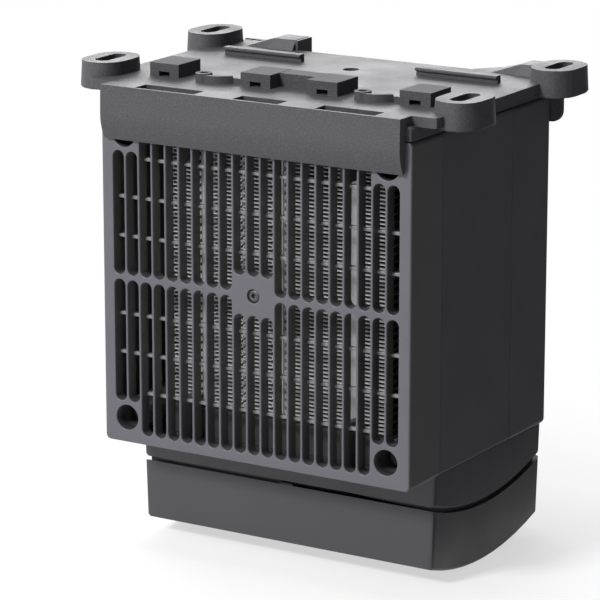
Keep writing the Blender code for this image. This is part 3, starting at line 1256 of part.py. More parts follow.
def cord_clamp():
    """A saddle on two posts behind the inlet, with a groove for the cord under it."""
    half = CLAMP_LENGTH / 2
    low = (INLET_X - half, CLAMP_Y - CLAMP_WIDTH / 2, CLAMP_BASE_Z)
    high = (INLET_X + half, CLAMP_Y + CLAMP_WIDTH / 2, CLAMP_BASE_Z + CLAMP_HEIGHT)
    clamp = part("cord_clamp", boxes("cord_clamp", (low, high)), (0.05, 0.05, 0.05), 0.5)
    radius = GROMMET_HOLE_RADIUS
    groove = (INLET_X, low[1] - GAP, CLAMP_BASE_Z - GAP), CLAMP_WIDTH + 2 * GAP, radius, radius
    cut(clamp, rods("groove", "Y", 20, groove))
    radius = CLAMP_SCREW_RADIUS + GAP
    xs = [INLET_X + side * CLAMP_SCREW_SPREAD / 2 for side in (-1, 1)]
    holes = [((x, CLAMP_Y, CLAMP_BASE_Z - GAP), CLAMP_HEIGHT + 2 * GAP, radius, radius) for x in xs]
    cut(clamp, rods("screw_holes", "Z", 12, *holes))
    for i, x in enumerate(xs, 1):
        name = f"clamp_screw_{i}"
        head_z = CLAMP_BASE_Z + CLAMP_HEIGHT + GAP
        head = (x, CLAMP_Y, head_z), CLAMP_SCREW_HEAD_HEIGHT, CLAMP_SCREW_HEAD, CLAMP_SCREW_HEAD
        turned = steel(name, rods(name, "Z", 12, head))
        shank_z = CLAMP_BASE_Z - CLAMP_PILOT_DEPTH + GAP
        length = head_z + CLAMP_SCREW_HEAD_HEIGHT / 2 - shank_z
        shank = (x, CLAMP_Y, shank_z), length, CLAMP_SCREW_RADIUS, CLAMP_SCREW_RADIUS
        join(turned, rods("shank", "Z", 8, shank))


def cover_screws():
    base = COVER_FLOOR_Z - COVER_WALL
    for i, side in enumerate((-1, 1), 1):
        screw(
            f"cover_screw_{i}",
            "Z",
            (side * COVER_SCREW_X, COVER_SCREW_Y, base + COVER_RECESS_DEPTH - GAP - COVER_SCREW_HEAD_HEIGHT),
            COVER_SCREW_HEAD_HEIGHT,
            COVER_SCREW_HEAD,
            COVER_SCREW_REACH,
            COVER_SCREW_RADIUS,
        )


def base_screws():
    """Screws up from the terminal base into bosses on the case's floor."""
    for i, side in enumerate((-1, 1), 1):
        screw(
            f"base_screw_{i}",
            "Z",
            (side * BASE_SCREW_X, BASE_SCREW_Y, -2 * GAP - NECK_FLOOR - BASE_SCREW_HEAD_HEIGHT),
            BASE_SCREW_HEAD_HEIGHT,
            BASE_SCREW_HEAD,
            BASE_SCREW_LENGTH,
            BASE_SCREW_RADIUS,
        )


def pole_xs():
    pitch = BLOCK_LENGTH / POLES
    return [(i - (POLES - 1) / 2) * pitch for i in range(POLES)]


def terminal_block():
    """A block of poles under the base's floor: wires go in from both sides, screws from below."""
    top = -2 * GAP - NECK_FLOOR
    low = (-BLOCK_LENGTH / 2, BLOCK_Y - BLOCK_DEPTH / 2, top - BLOCK_HEIGHT)
    high = (BLOCK_LENGTH / 2, BLOCK_Y + BLOCK_DEPTH / 2, top)
    block = part("terminal_block", boxes("terminal_block", (low, high)), (0.6, 0.6, 0.56), 0.45)
    wells = []
    wires = []
    half = WIRE_HOLE / 2
    wire_z = wire_height()
    for x in pole_xs():
        wells.append(((x, BLOCK_Y, low[2] - GAP), POLE_HOLE_DEPTH, POLE_HOLE_RADIUS, POLE_HOLE_RADIUS))
        wires.append(((x - half, low[1] - GAP, wire_z - half), (x + half, high[1] + GAP, wire_z + half)))
    notches = []
    for x in pole_xs()[:-1]:
        edge = x + BLOCK_LENGTH / POLES / 2
        notch_low = (edge - half / 2, low[1] - GAP, low[2] - GAP)
        notches.append((notch_low, (edge + half / 2, high[1] + GAP, low[2] + WIRE_HOLE)))
    cut(block, rods("wells", "Z", 8, *wells))
    cut(block, boxes("wire_holes", *wires))
    cut(block, boxes("notches", *notches))
    foot = low[2] + GAP
    radius = POLE_SCREW_RADIUS
    for i, x in enumerate(pole_xs(), 1):
        name = f"pole_screw_{i}"
        mesh = rods(name, "Z", 10, ((x, BLOCK_Y, foot), POLE_HOLE_DEPTH - 3 * GAP, radius, radius))
        turned = part(name, mesh, (0.5, 0.42, 0.2), 0.35, 1)
        reach = radius + GAP
        drive = (x - reach, BLOCK_Y - GAP, foot - GAP), (x + reach, BLOCK_Y + GAP, foot + 2 * GAP)
        cut(turned, boxes("drive", drive))


def wire_height():
    """The height of the terminal block's wire holes."""
    return -2 * GAP - NECK_FLOOR - BLOCK_HEIGHT / 3


def smooth_path(points, steps):
    """Points along a smooth curve through the given ones."""
    padded = [points[0], *points, points[-1]]
    path = []
    for i in range(len(points) - 1):
        a, b, c, d = (Vector(p) for p in padded[i : i + 4])
        for j in range(steps):
            t = j / steps
            path.append(
                0.5 * (2 * b + (c - a) * t + (2 * a - 5 * b + 4 * c - d) * t * t + (3 * b - a - 3 * c + d) * t**3)
            )
    path.append(Vector(points[-1]))
    return path


def lead(name, points, colour):
    curve = bpy.data.curves.new(name, "CURVE")
    curve.dimensions = "3D"
    curve.bevel_depth = LEAD_RADIUS
    curve.bevel_resolution = 1
    curve.use_fill_caps = True
    path = smooth_path(points, LEAD_STEPS)
    spline = curve.splines.new("POLY")
    spline.points.add(len(path) - 1)
    for point, place in zip(spline.points, path):
        point.co = (*place, 1)
    made = add_object(name, curve, parts)
    curve.materials.append(material(name, colour, 0.5))
    return made


def leads():
    """Leads from the terminal block's back through the case's floor, two to the element and two to the fan."""
    block_back = BLOCK_Y + BLOCK_DEPTH / 2 + GAP
    wire_z = wire_height()
    holder_back = ELEMENT_BACK + HOLDER_MARGIN + GAP
    routes = (
        ("heater_lead_1", pole_xs()[0], -LEAD_HOLE_WIDTH * 0.4, holder_back, HEATER_LEAD_Z, (0.5, 0.5, 0.5)),
        ("fan_lead_1", pole_xs()[1], -FAN_LEAD_X, FAN_FRONT - GAP, FAN_LEAD_Z, (0.05, 0.05, 0.4)),
        ("fan_lead_2", pole_xs()[2], FAN_LEAD_X, FAN_FRONT - GAP, FAN_LEAD_Z, (0.3, 0.1, 0.03)),
        ("heater_lead_2", pole_xs()[3], LEAD_HOLE_WIDTH * 0.4, holder_back, HEATER_LEAD_Z, (0.5, 0.5, 0.5)),
    )
    for name, start_x, hole_x, end_y, end_z, colour in routes:
        toward = 1 if end_y > LEAD_HOLE_Y else -1
        y = LEAD_HOLE_Y - toward * LEAD_RADIUS
        points = (
            (start_x, block_back, wire_z),
            (start_x, block_back + 1.5 * LEAD_RADIUS, wire_z),
            (hole_x, y, -NECK_FLOOR),
            (hole_x, y + toward * LEAD_RADIUS, HOUSING_WALL),
            (hole_x, (y + end_y) / 2, end_z + LEAD_RADIUS),
            (hole_x, end_y - toward * 2 * LEAD_RADIUS, end_z),
            (hole_x, end_y, end_z),
        )
        lead(name, points, colour)


front_grille()
case_screws()
middle_housing()
rear_housing()
fan_screws()
heating_element()
element_holders()
thermal_cutout()
fan()
fan_motor()
fan_rotor()
mounting_plate()
terminal_base()
base_screws()
terminal_cover()
cover_screws()
terminal_block()
cord_clamp()
cord_grommet()
leads()
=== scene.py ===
import math

import bmesh
import bpy
from mathutils import Matrix, Vector


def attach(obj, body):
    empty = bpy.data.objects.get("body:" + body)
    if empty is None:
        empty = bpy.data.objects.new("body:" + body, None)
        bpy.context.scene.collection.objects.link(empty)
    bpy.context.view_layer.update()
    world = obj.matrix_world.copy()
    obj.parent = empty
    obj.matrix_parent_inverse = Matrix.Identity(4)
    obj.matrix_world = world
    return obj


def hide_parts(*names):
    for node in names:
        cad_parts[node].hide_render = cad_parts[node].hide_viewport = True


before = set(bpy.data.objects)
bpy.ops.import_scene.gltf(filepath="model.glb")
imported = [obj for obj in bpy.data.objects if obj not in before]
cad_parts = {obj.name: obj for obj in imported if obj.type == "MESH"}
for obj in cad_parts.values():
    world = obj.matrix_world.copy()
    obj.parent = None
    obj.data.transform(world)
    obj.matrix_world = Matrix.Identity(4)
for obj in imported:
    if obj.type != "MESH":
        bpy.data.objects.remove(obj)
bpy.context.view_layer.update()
scene = bpy.context.scene
scene.view_settings.view_transform = "Standard"

# Camera, fitted to the photograph's corners and edges
CAMERA_PLACE = (0.6157, -1.0243, 0.3971)
CAMERA_AZIMUTH = 31.465
CAMERA_ELEVATION = 14.344
CAMERA_LENS = 203.7

# Colours, linear
GRILLE_GREY = (0.089, 0.088, 0.103)
CASE_GREY = (0.052, 0.051, 0.058)
PLATE_GREY = (0.038, 0.037, 0.043)
COVER_GREY = (0.041, 0.039, 0.045)
HOLDER_GREY = (0.03, 0.03, 0.032)
FAN_BLACK = (0.016, 0.016, 0.017)
FLOOR_WHITE = (0.93, 0.93, 0.93)
# Painted glints: pale flecks standing in for light catching the plate's grain
GLINT_SPECKLE_GREY = (0.6, 0.6, 0.61)
# Painted shade on the fins behind their lit front edges
SHADED_FIN_GREY = (0.07, 0.07, 0.072)
# Painted shade on the grille's walls inside its slots and holes
SHADED_GRILLE_GREY = (0.06, 0.06, 0.064)
# Painted light: the cross bars are the grille's plastic painted lighter, as if lit
LIT_CROSS_BAR_GREY = (0.19, 0.19, 0.20)
CARD_BLACK = (0.01, 0.01, 0.01)

# Noise in the materials: the scale of the slow changes, and how far they move the roughness
BLOTCH_SCALE = 60.0
ROUGHNESS_SPREAD = 0.06

# Boxes, in the part's space, inside which a material changes
# Painted shade on the fins inside this box
FIN_SHADE_BOX = ((-0.05, -0.0314, 0.05), (0.05, -0.0050, 0.16))
# Painted shade on the grille inside this box
GRILLE_SHADE_BOX = ((-0.068, -0.0493, 0.035), (0.068, -0.0240, 0.172))
HOLDER_POSTS = ((-0.04, -0.0450, 0.04), (0.04, -0.0350, 0.17))
PLATE_BLOCKS = ((-0.0605, -0.0314, 0.1742), (0.0605, -0.0146, 0.183))
PLATE_BLOCK_ROUGHNESS = 0.75

# Bevels on the CAD nodes
PLATE_BEVEL = 0.00035
CASE_BEVEL = 0.00025

WORLD_STRENGTH = 0.18


def new_material(name):
    """A material with nodes, and its node tree's nodes and links."""
    material = bpy.data.materials.new(name)
    material.use_nodes = True
    return material, material.node_tree.nodes, material.node_tree.links


def larger_of(nodes, links, first, second):
    """A node that gives the larger of two values."""
    larger = nodes.new("ShaderNodeMath")
    larger.operation = "MAXIMUM"
    links.new(first, larger.inputs[0])
    links.new(second, larger.inputs[1])
    return larger.outputs[0]


def procedural(name, colour, roughness, metallic=0.0, grain=1500.0, bump=0.25, depth=0.00004, mottle=0.06,
               stretch=(1.0, 1.0, 1.0), glint_speckle=0.0):
    """A Principled material with fine grain in its bump and slow changes in its colour and roughness."""
    material, nodes, links = new_material(name)
    shader = nodes["Principled BSDF"]
    shader.inputs["Metallic"].default_value = metallic
    place = nodes.new("ShaderNodeTexCoord")
    stretched = nodes.new("ShaderNodeMapping")
    stretched.inputs["Scale"].default_value = stretch
    links.new(place.outputs["Object"], stretched.inputs["Vector"])
    fine = nodes.new("ShaderNodeTexNoise")
    fine.inputs["Scale"].default_value = grain
    fine.inputs["Detail"].default_value = 3.0
    slow = nodes.new("ShaderNodeTexNoise")
    slow.inputs["Scale"].default_value = BLOTCH_SCALE
    slow.inputs["Detail"].default_value = 4.0
    for noise in (fine, slow):
        links.new(stretched.outputs["Vector"], noise.inputs["Vector"])
    ramp = nodes.new("ShaderNodeMix")
    ramp.data_type = "RGBA"
    ramp.inputs["A"].default_value = (*(c * (1 - mottle) for c in colour), 1)
    ramp.inputs["B"].default_value = (*(min(c * (1 + mottle), 1) for c in colour), 1)
    links.new(slow.outputs["Fac"], ramp.inputs["Factor"])
    # Pale flecks in the colour: painted glints of light on the grain
    glint_flecks = nodes.new("ShaderNodeMapRange")
    glint_flecks.inputs["From Min"].default_value = 0.45
    glint_flecks.inputs["From Max"].default_value = 0.75
    glint_flecks.inputs["To Max"].default_value = glint_speckle
    links.new(fine.outputs["Fac"], glint_flecks.inputs["Value"])
    pale = nodes.new("ShaderNodeMix")
    pale.data_type = "RGBA"
    links.new(glint_flecks.outputs["Result"], pale.inputs["Factor"])
    links.new(ramp.outputs["Result"], pale.inputs["A"])
    pale.inputs["B"].default_value = (*GLINT_SPECKLE_GREY, 1)
    links.new(pale.outputs["Result"], shader.inputs["Base Color"])
    spread = nodes.new("ShaderNodeMapRange")
    spread.inputs["From Min"].default_value = 0.3
    spread.inputs["From Max"].default_value = 0.7
    spread.inputs["To Min"].default_value = max(roughness - ROUGHNESS_SPREAD, 0.02)
    spread.inputs["To Max"].default_value = min(roughness + ROUGHNESS_SPREAD, 1.0)
    links.new(slow.outputs["Fac"], spread.inputs["Value"])
    links.new(spread.outputs["Result"], shader.inputs["Roughness"])
    relief = nodes.new("ShaderNodeBump")
    relief.inputs["Strength"].default_value = bump
    relief.inputs["Distance"].default_value = depth
    links.new(fine.outputs["Fac"], relief.inputs["Height"])
    links.new(relief.outputs["Normal"], shader.inputs["Normal"])
    return material


LOOKS = {
    "grille_plastic": dict(colour=GRILLE_GREY, roughness=0.42),
    "case_plastic": dict(colour=CASE_GREY, roughness=0.55),
    # The plate's pale flecks are painted glints
    "plate_plastic": dict(colour=PLATE_GREY, roughness=0.55, grain=1800.0, bump=0.9, depth=0.00012,
                          glint_speckle=0.05),
    "cover_plastic": dict(colour=COVER_GREY, roughness=0.5),
    "holder_plastic": dict(colour=HOLDER_GREY, roughness=0.6),
    "fan_plastic": dict(colour=FAN_BLACK, roughness=0.4, bump=0.1),
    "tube_aluminium": dict(colour=(0.5, 0.5, 0.51), roughness=0.55, metallic=0.6, stretch=(6, 6, 0.2)),
    "fin_aluminium": dict(colour=(0.93, 0.93, 0.93), roughness=0.45, metallic=0.25, mottle=0.02,
                          stretch=(1, 0.2, 6)),
    "screw_steel": dict(colour=(0.08, 0.08, 0.085), roughness=0.45, metallic=0.7),
    "bearing_steel": dict(colour=(0.6, 0.6, 0.62), roughness=0.25, metallic=1.0),
    "bracket_steel": dict(colour=(0.6, 0.6, 0.6), roughness=0.35, metallic=1.0),
    "cutout_plastic": dict(colour=(0.03, 0.03, 0.03), roughness=0.4),
    "winding_copper": dict(colour=(0.62, 0.35, 0.2), roughness=0.4, metallic=0.9),
    "terminal_plastic": dict(colour=(0.65, 0.65, 0.6), roughness=0.45),
    "terminal_brass": dict(colour=(0.7, 0.6, 0.35), roughness=0.35, metallic=1.0),
    "grommet_rubber": dict(colour=(0.02, 0.02, 0.02), roughness=0.7),
    "clamp_plastic": dict(colour=(0.05, 0.05, 0.05), roughness=0.5),
    "heater_lead_sleeve": dict(colour=(0.55, 0.55, 0.52), roughness=0.6),
    "fan_lead_blue": dict(colour=(0.03, 0.06, 0.3), roughness=0.4),
    "fan_lead_brown": dict(colour=(0.2, 0.09, 0.04), roughness=0.4),
}
materials = {name: procedural(name + "_look", **look) for name, look in LOOKS.items()}


def change_inside(material, socket, value, low, high):
    """Gives one of the shader's sockets another value inside this box of the object's space."""
    nodes, links = material.node_tree.nodes, material.node_tree.links
    target = nodes["Principled BSDF"].inputs[socket]
    before = target.links[0].from_socket
    halves = [(b - a) / 2 for a, b in zip(low, high)]
    place = nodes.new("ShaderNodeTexCoord")
    fitted = nodes.new("ShaderNodeMapping")
    fitted.inputs["Scale"].default_value = [1 / half for half in halves]
    fitted.inputs["Location"].default_value = [-(a + b) / 2 / half for a, b, half in zip(low, high, halves)]
    links.new(place.outputs["Object"], fitted.inputs["Vector"])
    size = nodes.new("ShaderNodeVectorMath")
    size.operation = "ABSOLUTE"
    links.new(fitted.outputs["Vector"], size.inputs[0])
    split = nodes.new("ShaderNodeSeparateXYZ")
    links.new(size.outputs["Vector"], split.inputs["Vector"])
    reach = split.outputs["X"]
    for letter in "YZ":
        reach = larger_of(nodes, links, reach, split.outputs[letter])
    share = nodes.new("ShaderNodeMapRange")
    share.inputs["From Min"].default_value = 1.0
    share.inputs["From Max"].default_value = 0.97
    links.new(reach, share.inputs["Value"])
    blend = nodes.new("ShaderNodeMix")
    is_colour = not isinstance(value, float)
    blend.data_type = "RGBA" if is_colour else "FLOAT"
    links.new(share.outputs["Result"], blend.inputs["Factor"])
    links.new(before, blend.inputs["A"])
    blend.inputs["B"].default_value = (*value, 1) if is_colour else value
    links.new(blend.outputs["Result"], target)


# The fins keep their bright front edges and get painted shade further in, the grille gets painted shade
# inside its slots and holes, the holders' posts are as grey as the grille's face, and the blocks on the plate
# are duller than the plate
change_inside(materials["fin_aluminium"], "Base Color", SHADED_FIN_GREY, *FIN_SHADE_BOX)
change_inside(materials["grille_plastic"], "Base Color", SHADED_GRILLE_GREY, *GRILLE_SHADE_BOX)
change_inside(materials["holder_plastic"], "Base Color", GRILLE_GREY, *HOLDER_POSTS)
change_inside(materials["plate_plastic"], "Roughness", PLATE_BLOCK_ROUGHNESS, *PLATE_BLOCKS)


def soften(obj, width):
    """Rounds a CAD node's edges a little, so that they catch light."""
    weld = obj.modifiers.new("weld", "WELD")
    weld.merge_threshold = 0.000002
    flat = obj.modifiers.new("flat", "DECIMATE")
    flat.decimate_type = "DISSOLVE"
    flat.angle_limit = math.radians(0.5)
    bevel = obj.modifiers.new("bevel", "BEVEL")
    bevel.width = width
    bevel.segments = 2
    bevel.limit_method = "ANGLE"
    bevel.angle_limit = math.radians(35)
    normals = obj.modifiers.new("normals", "WEIGHTED_NORMAL")
    normals.keep_sharp = True


def smooth(obj, degrees=35):
    """Smooth shading, with edges sharper than this angle left sharp."""
    mesh = obj.data
    mesh.shade_smooth()
    mesh.set_sharp_from_angle(angle=math.radians(degrees))


for name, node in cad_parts.items():
    slots = [m.name for m in node.data.materials]
    slot = slots[0].split(".")[0] if slots else ""
    if slot in materials:
        node.data.materials.clear()
        node.data.materials.append(materials[slot])
    smooth(node)

soften(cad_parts["mounting_plate"], PLATE_BEVEL)
for name in ("middle_housing", "terminal_cover", "terminal_base"):
    soften(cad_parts[name], CASE_BEVEL)


# The case in its own frame, in metres: the panel's face lies at y = 0 and the case's floor at z = 0
FRONT_Y = -0.0498
FLOOR_Z = 0.0419
HALF_WIDTH = 0.0635
CASE_HEIGHT = 0.1234
MIDDLE_Z = CASE_HEIGHT / 2
CASE_CORNER = 0.002
FRONT_DEPTH = 0.022
SLOT_WIDTH = 0.00475
SLOT_PITCH = 0.00565
SLOT_COUNT = 21
PANEL_DEPTH = 0.0050
PANEL_ROUND = 0.00033
CROSS_BAR_FRONT = 0.0034
CORNER_HOLE = 0.00465
CORNER_TUBE_WALL = 0.0015
CORNER_TUBE_ENDS = (0.003, 0.0235)
MIDDLE_COLUMN = SLOT_COUNT // 2
SLOT_FOOT = 0.0036
CORNER_SLOT_FOOT = 0.0155
CORNER_SLOTS = 2
SLOT_GAP = 0.0009
BOSS_SLOT_GAP = 0.0071
PANEL_INSET = 0.0018
PANEL_CORNER = 0.001
PANEL_FRONT = 0.00001
BOSS_HOLE = 0.0025
CROSS_BAR_SPACING = 0.0144
CROSS_BAR_HALF_HEIGHT = 0.00065
CROSS_BAR_ROUND = 0.0003
CROSS_BAR_REACH = 0.0612
OUTER_BAR_COLUMNS = 8.5
FIN_FOOT, FIN_TOP = 0.0130, 0.1104
FIN_FRONT, FIN_BACK = 0.0171, 0.0409
FIN_FOLD = 0.00145
FIN_THICKNESS = 0.0002
TUBE_PITCH = 0.0302
HALF_TUBE = 0.0023
FIN_GAP = 0.0003
FIN_WIDTH = TUBE_PITCH / 2 - HALF_TUBE - 0.00045
BACK_FRONT, BACK_BACK = 0.1, 0.10199
BACK_INSET = 0.0024
BACK_ROUND = 0.0004
GUARD_FIRST = 0.0205
GUARD_STEP = 0.0085
GUARD_SLOT = 0.0055
GUARD_HALF_SPOKE = 0.002
SCREW_HOLE = 0.0037
SCREW_HOLE_PLACE = 0.0525
CORNER_PLACES = [(i * 0.054, MIDDLE_Z + j * 0.0523) for i in (-1, 1) for j in (-1, 1)]


def arc(centre, radius, start, end, steps):
    """Points along an arc, with its angles in degrees."""
    angles = [math.radians(start + (end - start) * i / steps) for i in range(steps + 1)]
    return [(centre[0] + radius * math.cos(a), centre[1] + radius * math.sin(a)) for a in angles]


def rounded_rectangle(low, high, radius, steps=6):
    """An outline from its lower left corner to its upper right one, with round corners."""
    corners = (
        ((high[0] - radius, high[1] - radius), 0),
        ((low[0] + radius, high[1] - radius), 90),
        ((low[0] + radius, low[1] + radius), 180),
        ((high[0] - radius, low[1] + radius), 270),
    )
    return [point for centre, start in corners for point in arc(centre, radius, start, start + 90, steps)]


def stadium(centre, radius, half_length, steps):
    """An outline with round ends, long along its second direction. It is a circle at half length 0."""
    top = arc((centre[0], centre[1] + half_length), radius, 0, 180, steps)
    foot = arc((centre[0], centre[1] - half_length), radius, 180, 360, steps)
    return top + foot if half_length > 0 else top + foot[1:-1]


def sheet(outlines, y):
    """A flat sheet at depth y in these outlines, where the inner ones are holes."""
    curve = bpy.data.curves.new("sheet", "CURVE")
    curve.dimensions = "2D"
    curve.fill_mode = "BOTH"
    for outline in outlines:
        spline = curve.splines.new("POLY")
        spline.points.add(len(outline) - 1)
        for point, (u, v) in zip(spline.points, outline):
            point.co = (u, v, 0, 1)
        spline.use_cyclic_u = True
    holder = bpy.data.objects.new("sheet", curve)
    scene.collection.objects.link(holder)
    graph = bpy.context.evaluated_depsgraph_get()
    mesh = bpy.data.meshes.new_from_object(holder.evaluated_get(graph))
    bpy.data.objects.remove(holder)
    mesh.transform(Matrix.Translation((0, y, 0)) @ Matrix.Rotation(math.pi / 2, 4, "X"))
    return mesh


def skin(sections, ring=False, capped=True):
    """A skin over sections of equally many points, closed on itself as a ring, capped or left open."""
    count = len(sections[0])
    points = [point for section in sections for point in section]
    pairs = [(i, i + 1) for i in range(len(sections) - 1)]
    faces = []
    if ring:
        pairs.append((len(sections) - 1, 0))
    elif capped:
        faces = [tuple(range(count)), tuple(range(len(points) - count, len(points)))]
    for a, b in pairs:
        for i in range(count):
            j = (i + 1) % count
            faces.append((a * count + i, a * count + j, b * count + j, b * count + i))
    mesh = bpy.data.meshes.new("skin")
    mesh.from_pydata(points, [], faces)
    return mesh


def edge_profile(growth, front, back, steps=3):
    """(growth, depth) down a wall whose two edges are rounded outwards by growth."""
    turns = [math.radians(90 * i / steps) for i in range(steps + 1)]
    start = [(growth * (1 - math.sin(t)), front + growth * (1 - math.cos(t))) for t in turns]
    end = [(growth * (1 - math.cos(t)), back - growth * (1 - math.sin(t))) for t in turns]
    return start + end


def pierced_panel(outer, holes, front, back, growth):
    """A panel with holes, given as functions from growth to outline, whose edges are rounded."""
    meshes = []
    for y in (front, back):
        meshes.append(sheet([outer] + [hole(growth) for hole in holes], y))
    for hole in holes:
        walls = [[(u, y, v) for u, v in hole(grow)] for grow, y in edge_profile(growth, front, back)]
        meshes.append(skin(walls, capped=False))
    meshes.append(skin([[(u, y, v) for u, v in outer] for y in (front, back)], capped=False))
    return meshes


def piece(name, meshes, slot, replaced=(), body="heater", degrees=35, weighted=True):
    """One visual piece of these meshes, moved from the case's frame to the part's."""
    made = bmesh.new()
    for mesh in meshes:
        made.from_mesh(mesh)
        bpy.data.meshes.remove(mesh)
    bmesh.ops.remove_doubles(made, verts=made.verts, dist=1e-6)
    bmesh.ops.recalc_face_normals(made, faces=made.faces)
    bmesh.ops.transform(made, matrix=Matrix.Translation((0, FRONT_Y, FLOOR_Z)), verts=made.verts)
    mesh = bpy.data.meshes.new(name)
    made.to_mesh(mesh)
    made.free()
    obj = bpy.data.objects.new(name, mesh)
    scene.collection.objects.link(obj)
    mesh.materials.append(materials[slot])
    smooth(obj, degrees)
    if weighted:
        normals = obj.modifiers.new("normals", "WEIGHTED_NORMAL")
        normals.keep_sharp = True
    if replaced:
        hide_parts(*replaced)
    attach(obj, body)
    return obj


def case_section(inset, y):
    """The case's rounded rectangle, this far inside its outer face, in the plane at depth y."""
    half_width = HALF_WIDTH - inset
    radius = max(CASE_CORNER - inset, CASE_CORNER / 4)
    outline = rounded_rectangle((-half_width, inset), (half_width, CASE_HEIGHT - inset), radius)
    return [(u, y, v) for u, v in outline]


def slot_outline(column, side):
    """The slot above or below the panel's middle in this column, as a function from growth to outline."""
    radius = SLOT_WIDTH / 2
    from_side = min(column, SLOT_COUNT - 1 - column)
    foot = CORNER_SLOT_FOOT if from_side < CORNER_SLOTS else SLOT_FOOT
    head = MIDDLE_Z - (BOSS_SLOT_GAP if abs(column - MIDDLE_COLUMN) <= 1 else SLOT_GAP)
    centre = ((column - MIDDLE_COLUMN) * SLOT_PITCH, MIDDLE_Z + side * (MIDDLE_Z - (head + foot) / 2))
    half_length = (head - foot) / 2 - radius
    return lambda growth: stadium(centre, radius + growth, half_length, 10)


def round_outline(place, radius):
    """A round hole, as a function from growth to outline."""
    return lambda growth: stadium(place, radius + growth, 0, 20)


def lathe(place, profile, count=40):
    """A ring round an axis along y, through these (radius, depth) points."""
    sections = []
    for radius, y in profile:
        outline = arc(place, radius, 0, 360 - 360 / count, count - 1)
        sections.append([(u, y, v) for u, v in outline])
    return skin(sections, ring=True)


def fine_grille():
    """The grille with round slot ends, deep bars with soft edges and cross bars set back between them."""
    half_width = HALF_WIDTH - PANEL_INSET
    low, high = (-half_width, PANEL_INSET), (half_width, CASE_HEIGHT - PANEL_INSET)
    outer = rounded_rectangle(low, high, PANEL_CORNER)
    holes = [slot_outline(column, side) for column in range(SLOT_COUNT) for side in (-1, 1)]
    holes += [round_outline(place, CORNER_HOLE) for place in CORNER_PLACES]
    holes.append(round_outline((0, MIDDLE_Z), BOSS_HOLE))
    meshes = pierced_panel(outer, holes, PANEL_FRONT, PANEL_DEPTH, PANEL_ROUND)
    rim = (
        (0.0021, 0.0), (0.0007, 0.0), (0.00032, 0.0001), (0.0001, 0.00032), (0, 0.0007), (0, 0.0214),
        (0.0006, FRONT_DEPTH), (0.00105, FRONT_DEPTH), (0.00105, 0.0236), (0.0018, 0.0236), (0.0018, 0.004),
        (0.0021, 0.004),
    )
    meshes.append(skin([case_section(inset, y) for inset, y in rim], ring=True))
    outside = CORNER_HOLE + CORNER_TUBE_WALL
    near, far = CORNER_TUBE_ENDS
    for place in CORNER_PLACES:
        tube = ((CORNER_HOLE, near), (outside, near), (outside, far), (CORNER_HOLE, far))
        meshes.append(lathe(place, tube))
    boss = ((0.0025, 0.0040), (0.0023, 0.0040), (0.0023, 0.0052), (0.0034, 0.0052), (0.0034, 0.0040))
    meshes.append(lathe((0, MIDDLE_Z), boss, 32))
    bars = []
    for i in (-3, -2, -1, 1, 2, 3):
        z = MIDDLE_Z + i * CROSS_BAR_SPACING
        back = PANEL_DEPTH + 0.0002
        low, high = (CROSS_BAR_FRONT, z - CROSS_BAR_HALF_HEIGHT), (back, z + CROSS_BAR_HALF_HEIGHT)
        outline = rounded_rectangle(low, high, CROSS_BAR_ROUND, 3)
        reach = CROSS_BAR_REACH if abs(i) < 3 else OUTER_BAR_COLUMNS * SLOT_PITCH
        bars.append(skin([[(x, y, v) for y, v in outline] for x in (-reach, reach)]))
    piece("fine_grille", meshes, "grille_plastic", ("front_grille",))
    cross_bars = piece("fine_cross_bars", bars, "grille_plastic")
    # The cross bars get their own lighter copy of the grille's plastic: painted light
    cross_bars.data.materials[0] = procedural("cross_bar_look", LIT_CROSS_BAR_GREY, 0.35)


def folded_strip(left, right, foot, top, pitch):
    """The middle line of a strip folded to and fro on its way up, with round bends."""
    count = int((top - foot) / pitch)
    rise = (top - foot) / count
    bend = rise / 2
    line = []
    for i in range(count):
        z = foot + rise * (i + 0.5)
        ends = [(left + bend, z), (right - bend, z)]
        if i % 2:
            ends.reverse()
        line += ends
        if i < count - 1:
            turn = (270, 90) if i % 2 else (-90, 90)
            line += arc((ends[1][0], z + bend), bend, *turn, 6)[1:-1]
    return line


def strip_skin(line, thickness, front, back):
    """A thin strip along a line in x and z, from the front depth to the back one."""
    sections = []
    for i, (u, v) in enumerate(line):
        before, after = line[max(i - 1, 0)], line[min(i + 1, len(line) - 1)]
        along = Vector((after[0] - before[0], after[1] - before[1])).normalized() * (thickness / 2)
        outer, inner = (u - along.y, v + along.x), (u + along.y, v - along.x)
        sections.append([(outer[0], front, outer[1]), (outer[0], back, outer[1]),
                         (inner[0], back, inner[1]), (inner[0], front, inner[1])])
    return skin(sections)


def fine_fins():
    """The folded fins between the tubes, with round bends."""
    bank = 0
    for i in (-1, 0, 1):
        x = i * TUBE_PITCH
        for left in (x - HALF_TUBE - FIN_GAP - FIN_WIDTH, x + HALF_TUBE + FIN_GAP):
            bank += 1
            line = folded_strip(left, left + FIN_WIDTH, FIN_FOOT, FIN_TOP, FIN_FOLD)
            mesh = strip_skin(line, FIN_THICKNESS, FIN_FRONT, FIN_BACK)
            piece(f"fine_fins_{bank}", [mesh], "fin_aluminium", (f"fin_bank_{bank}",), weighted=False)


def fine_screw():
    """The screw in the centre boss: a flat dark head with a small deep socket."""
    profile = (
        (0.0, 0.0030), (0.0, 0.0019), (0.0007, 0.0016), (0.0009, 0.0005), (0.00105, 0.0004), (0.0018, 0.0004),
        (0.0021, 0.0006), (0.0021, 0.0030),
    )
    mesh = lathe((0, MIDDLE_Z), profile, 32)
    piece("fine_screw", [mesh], "screw_steel", ("grille_screw",))


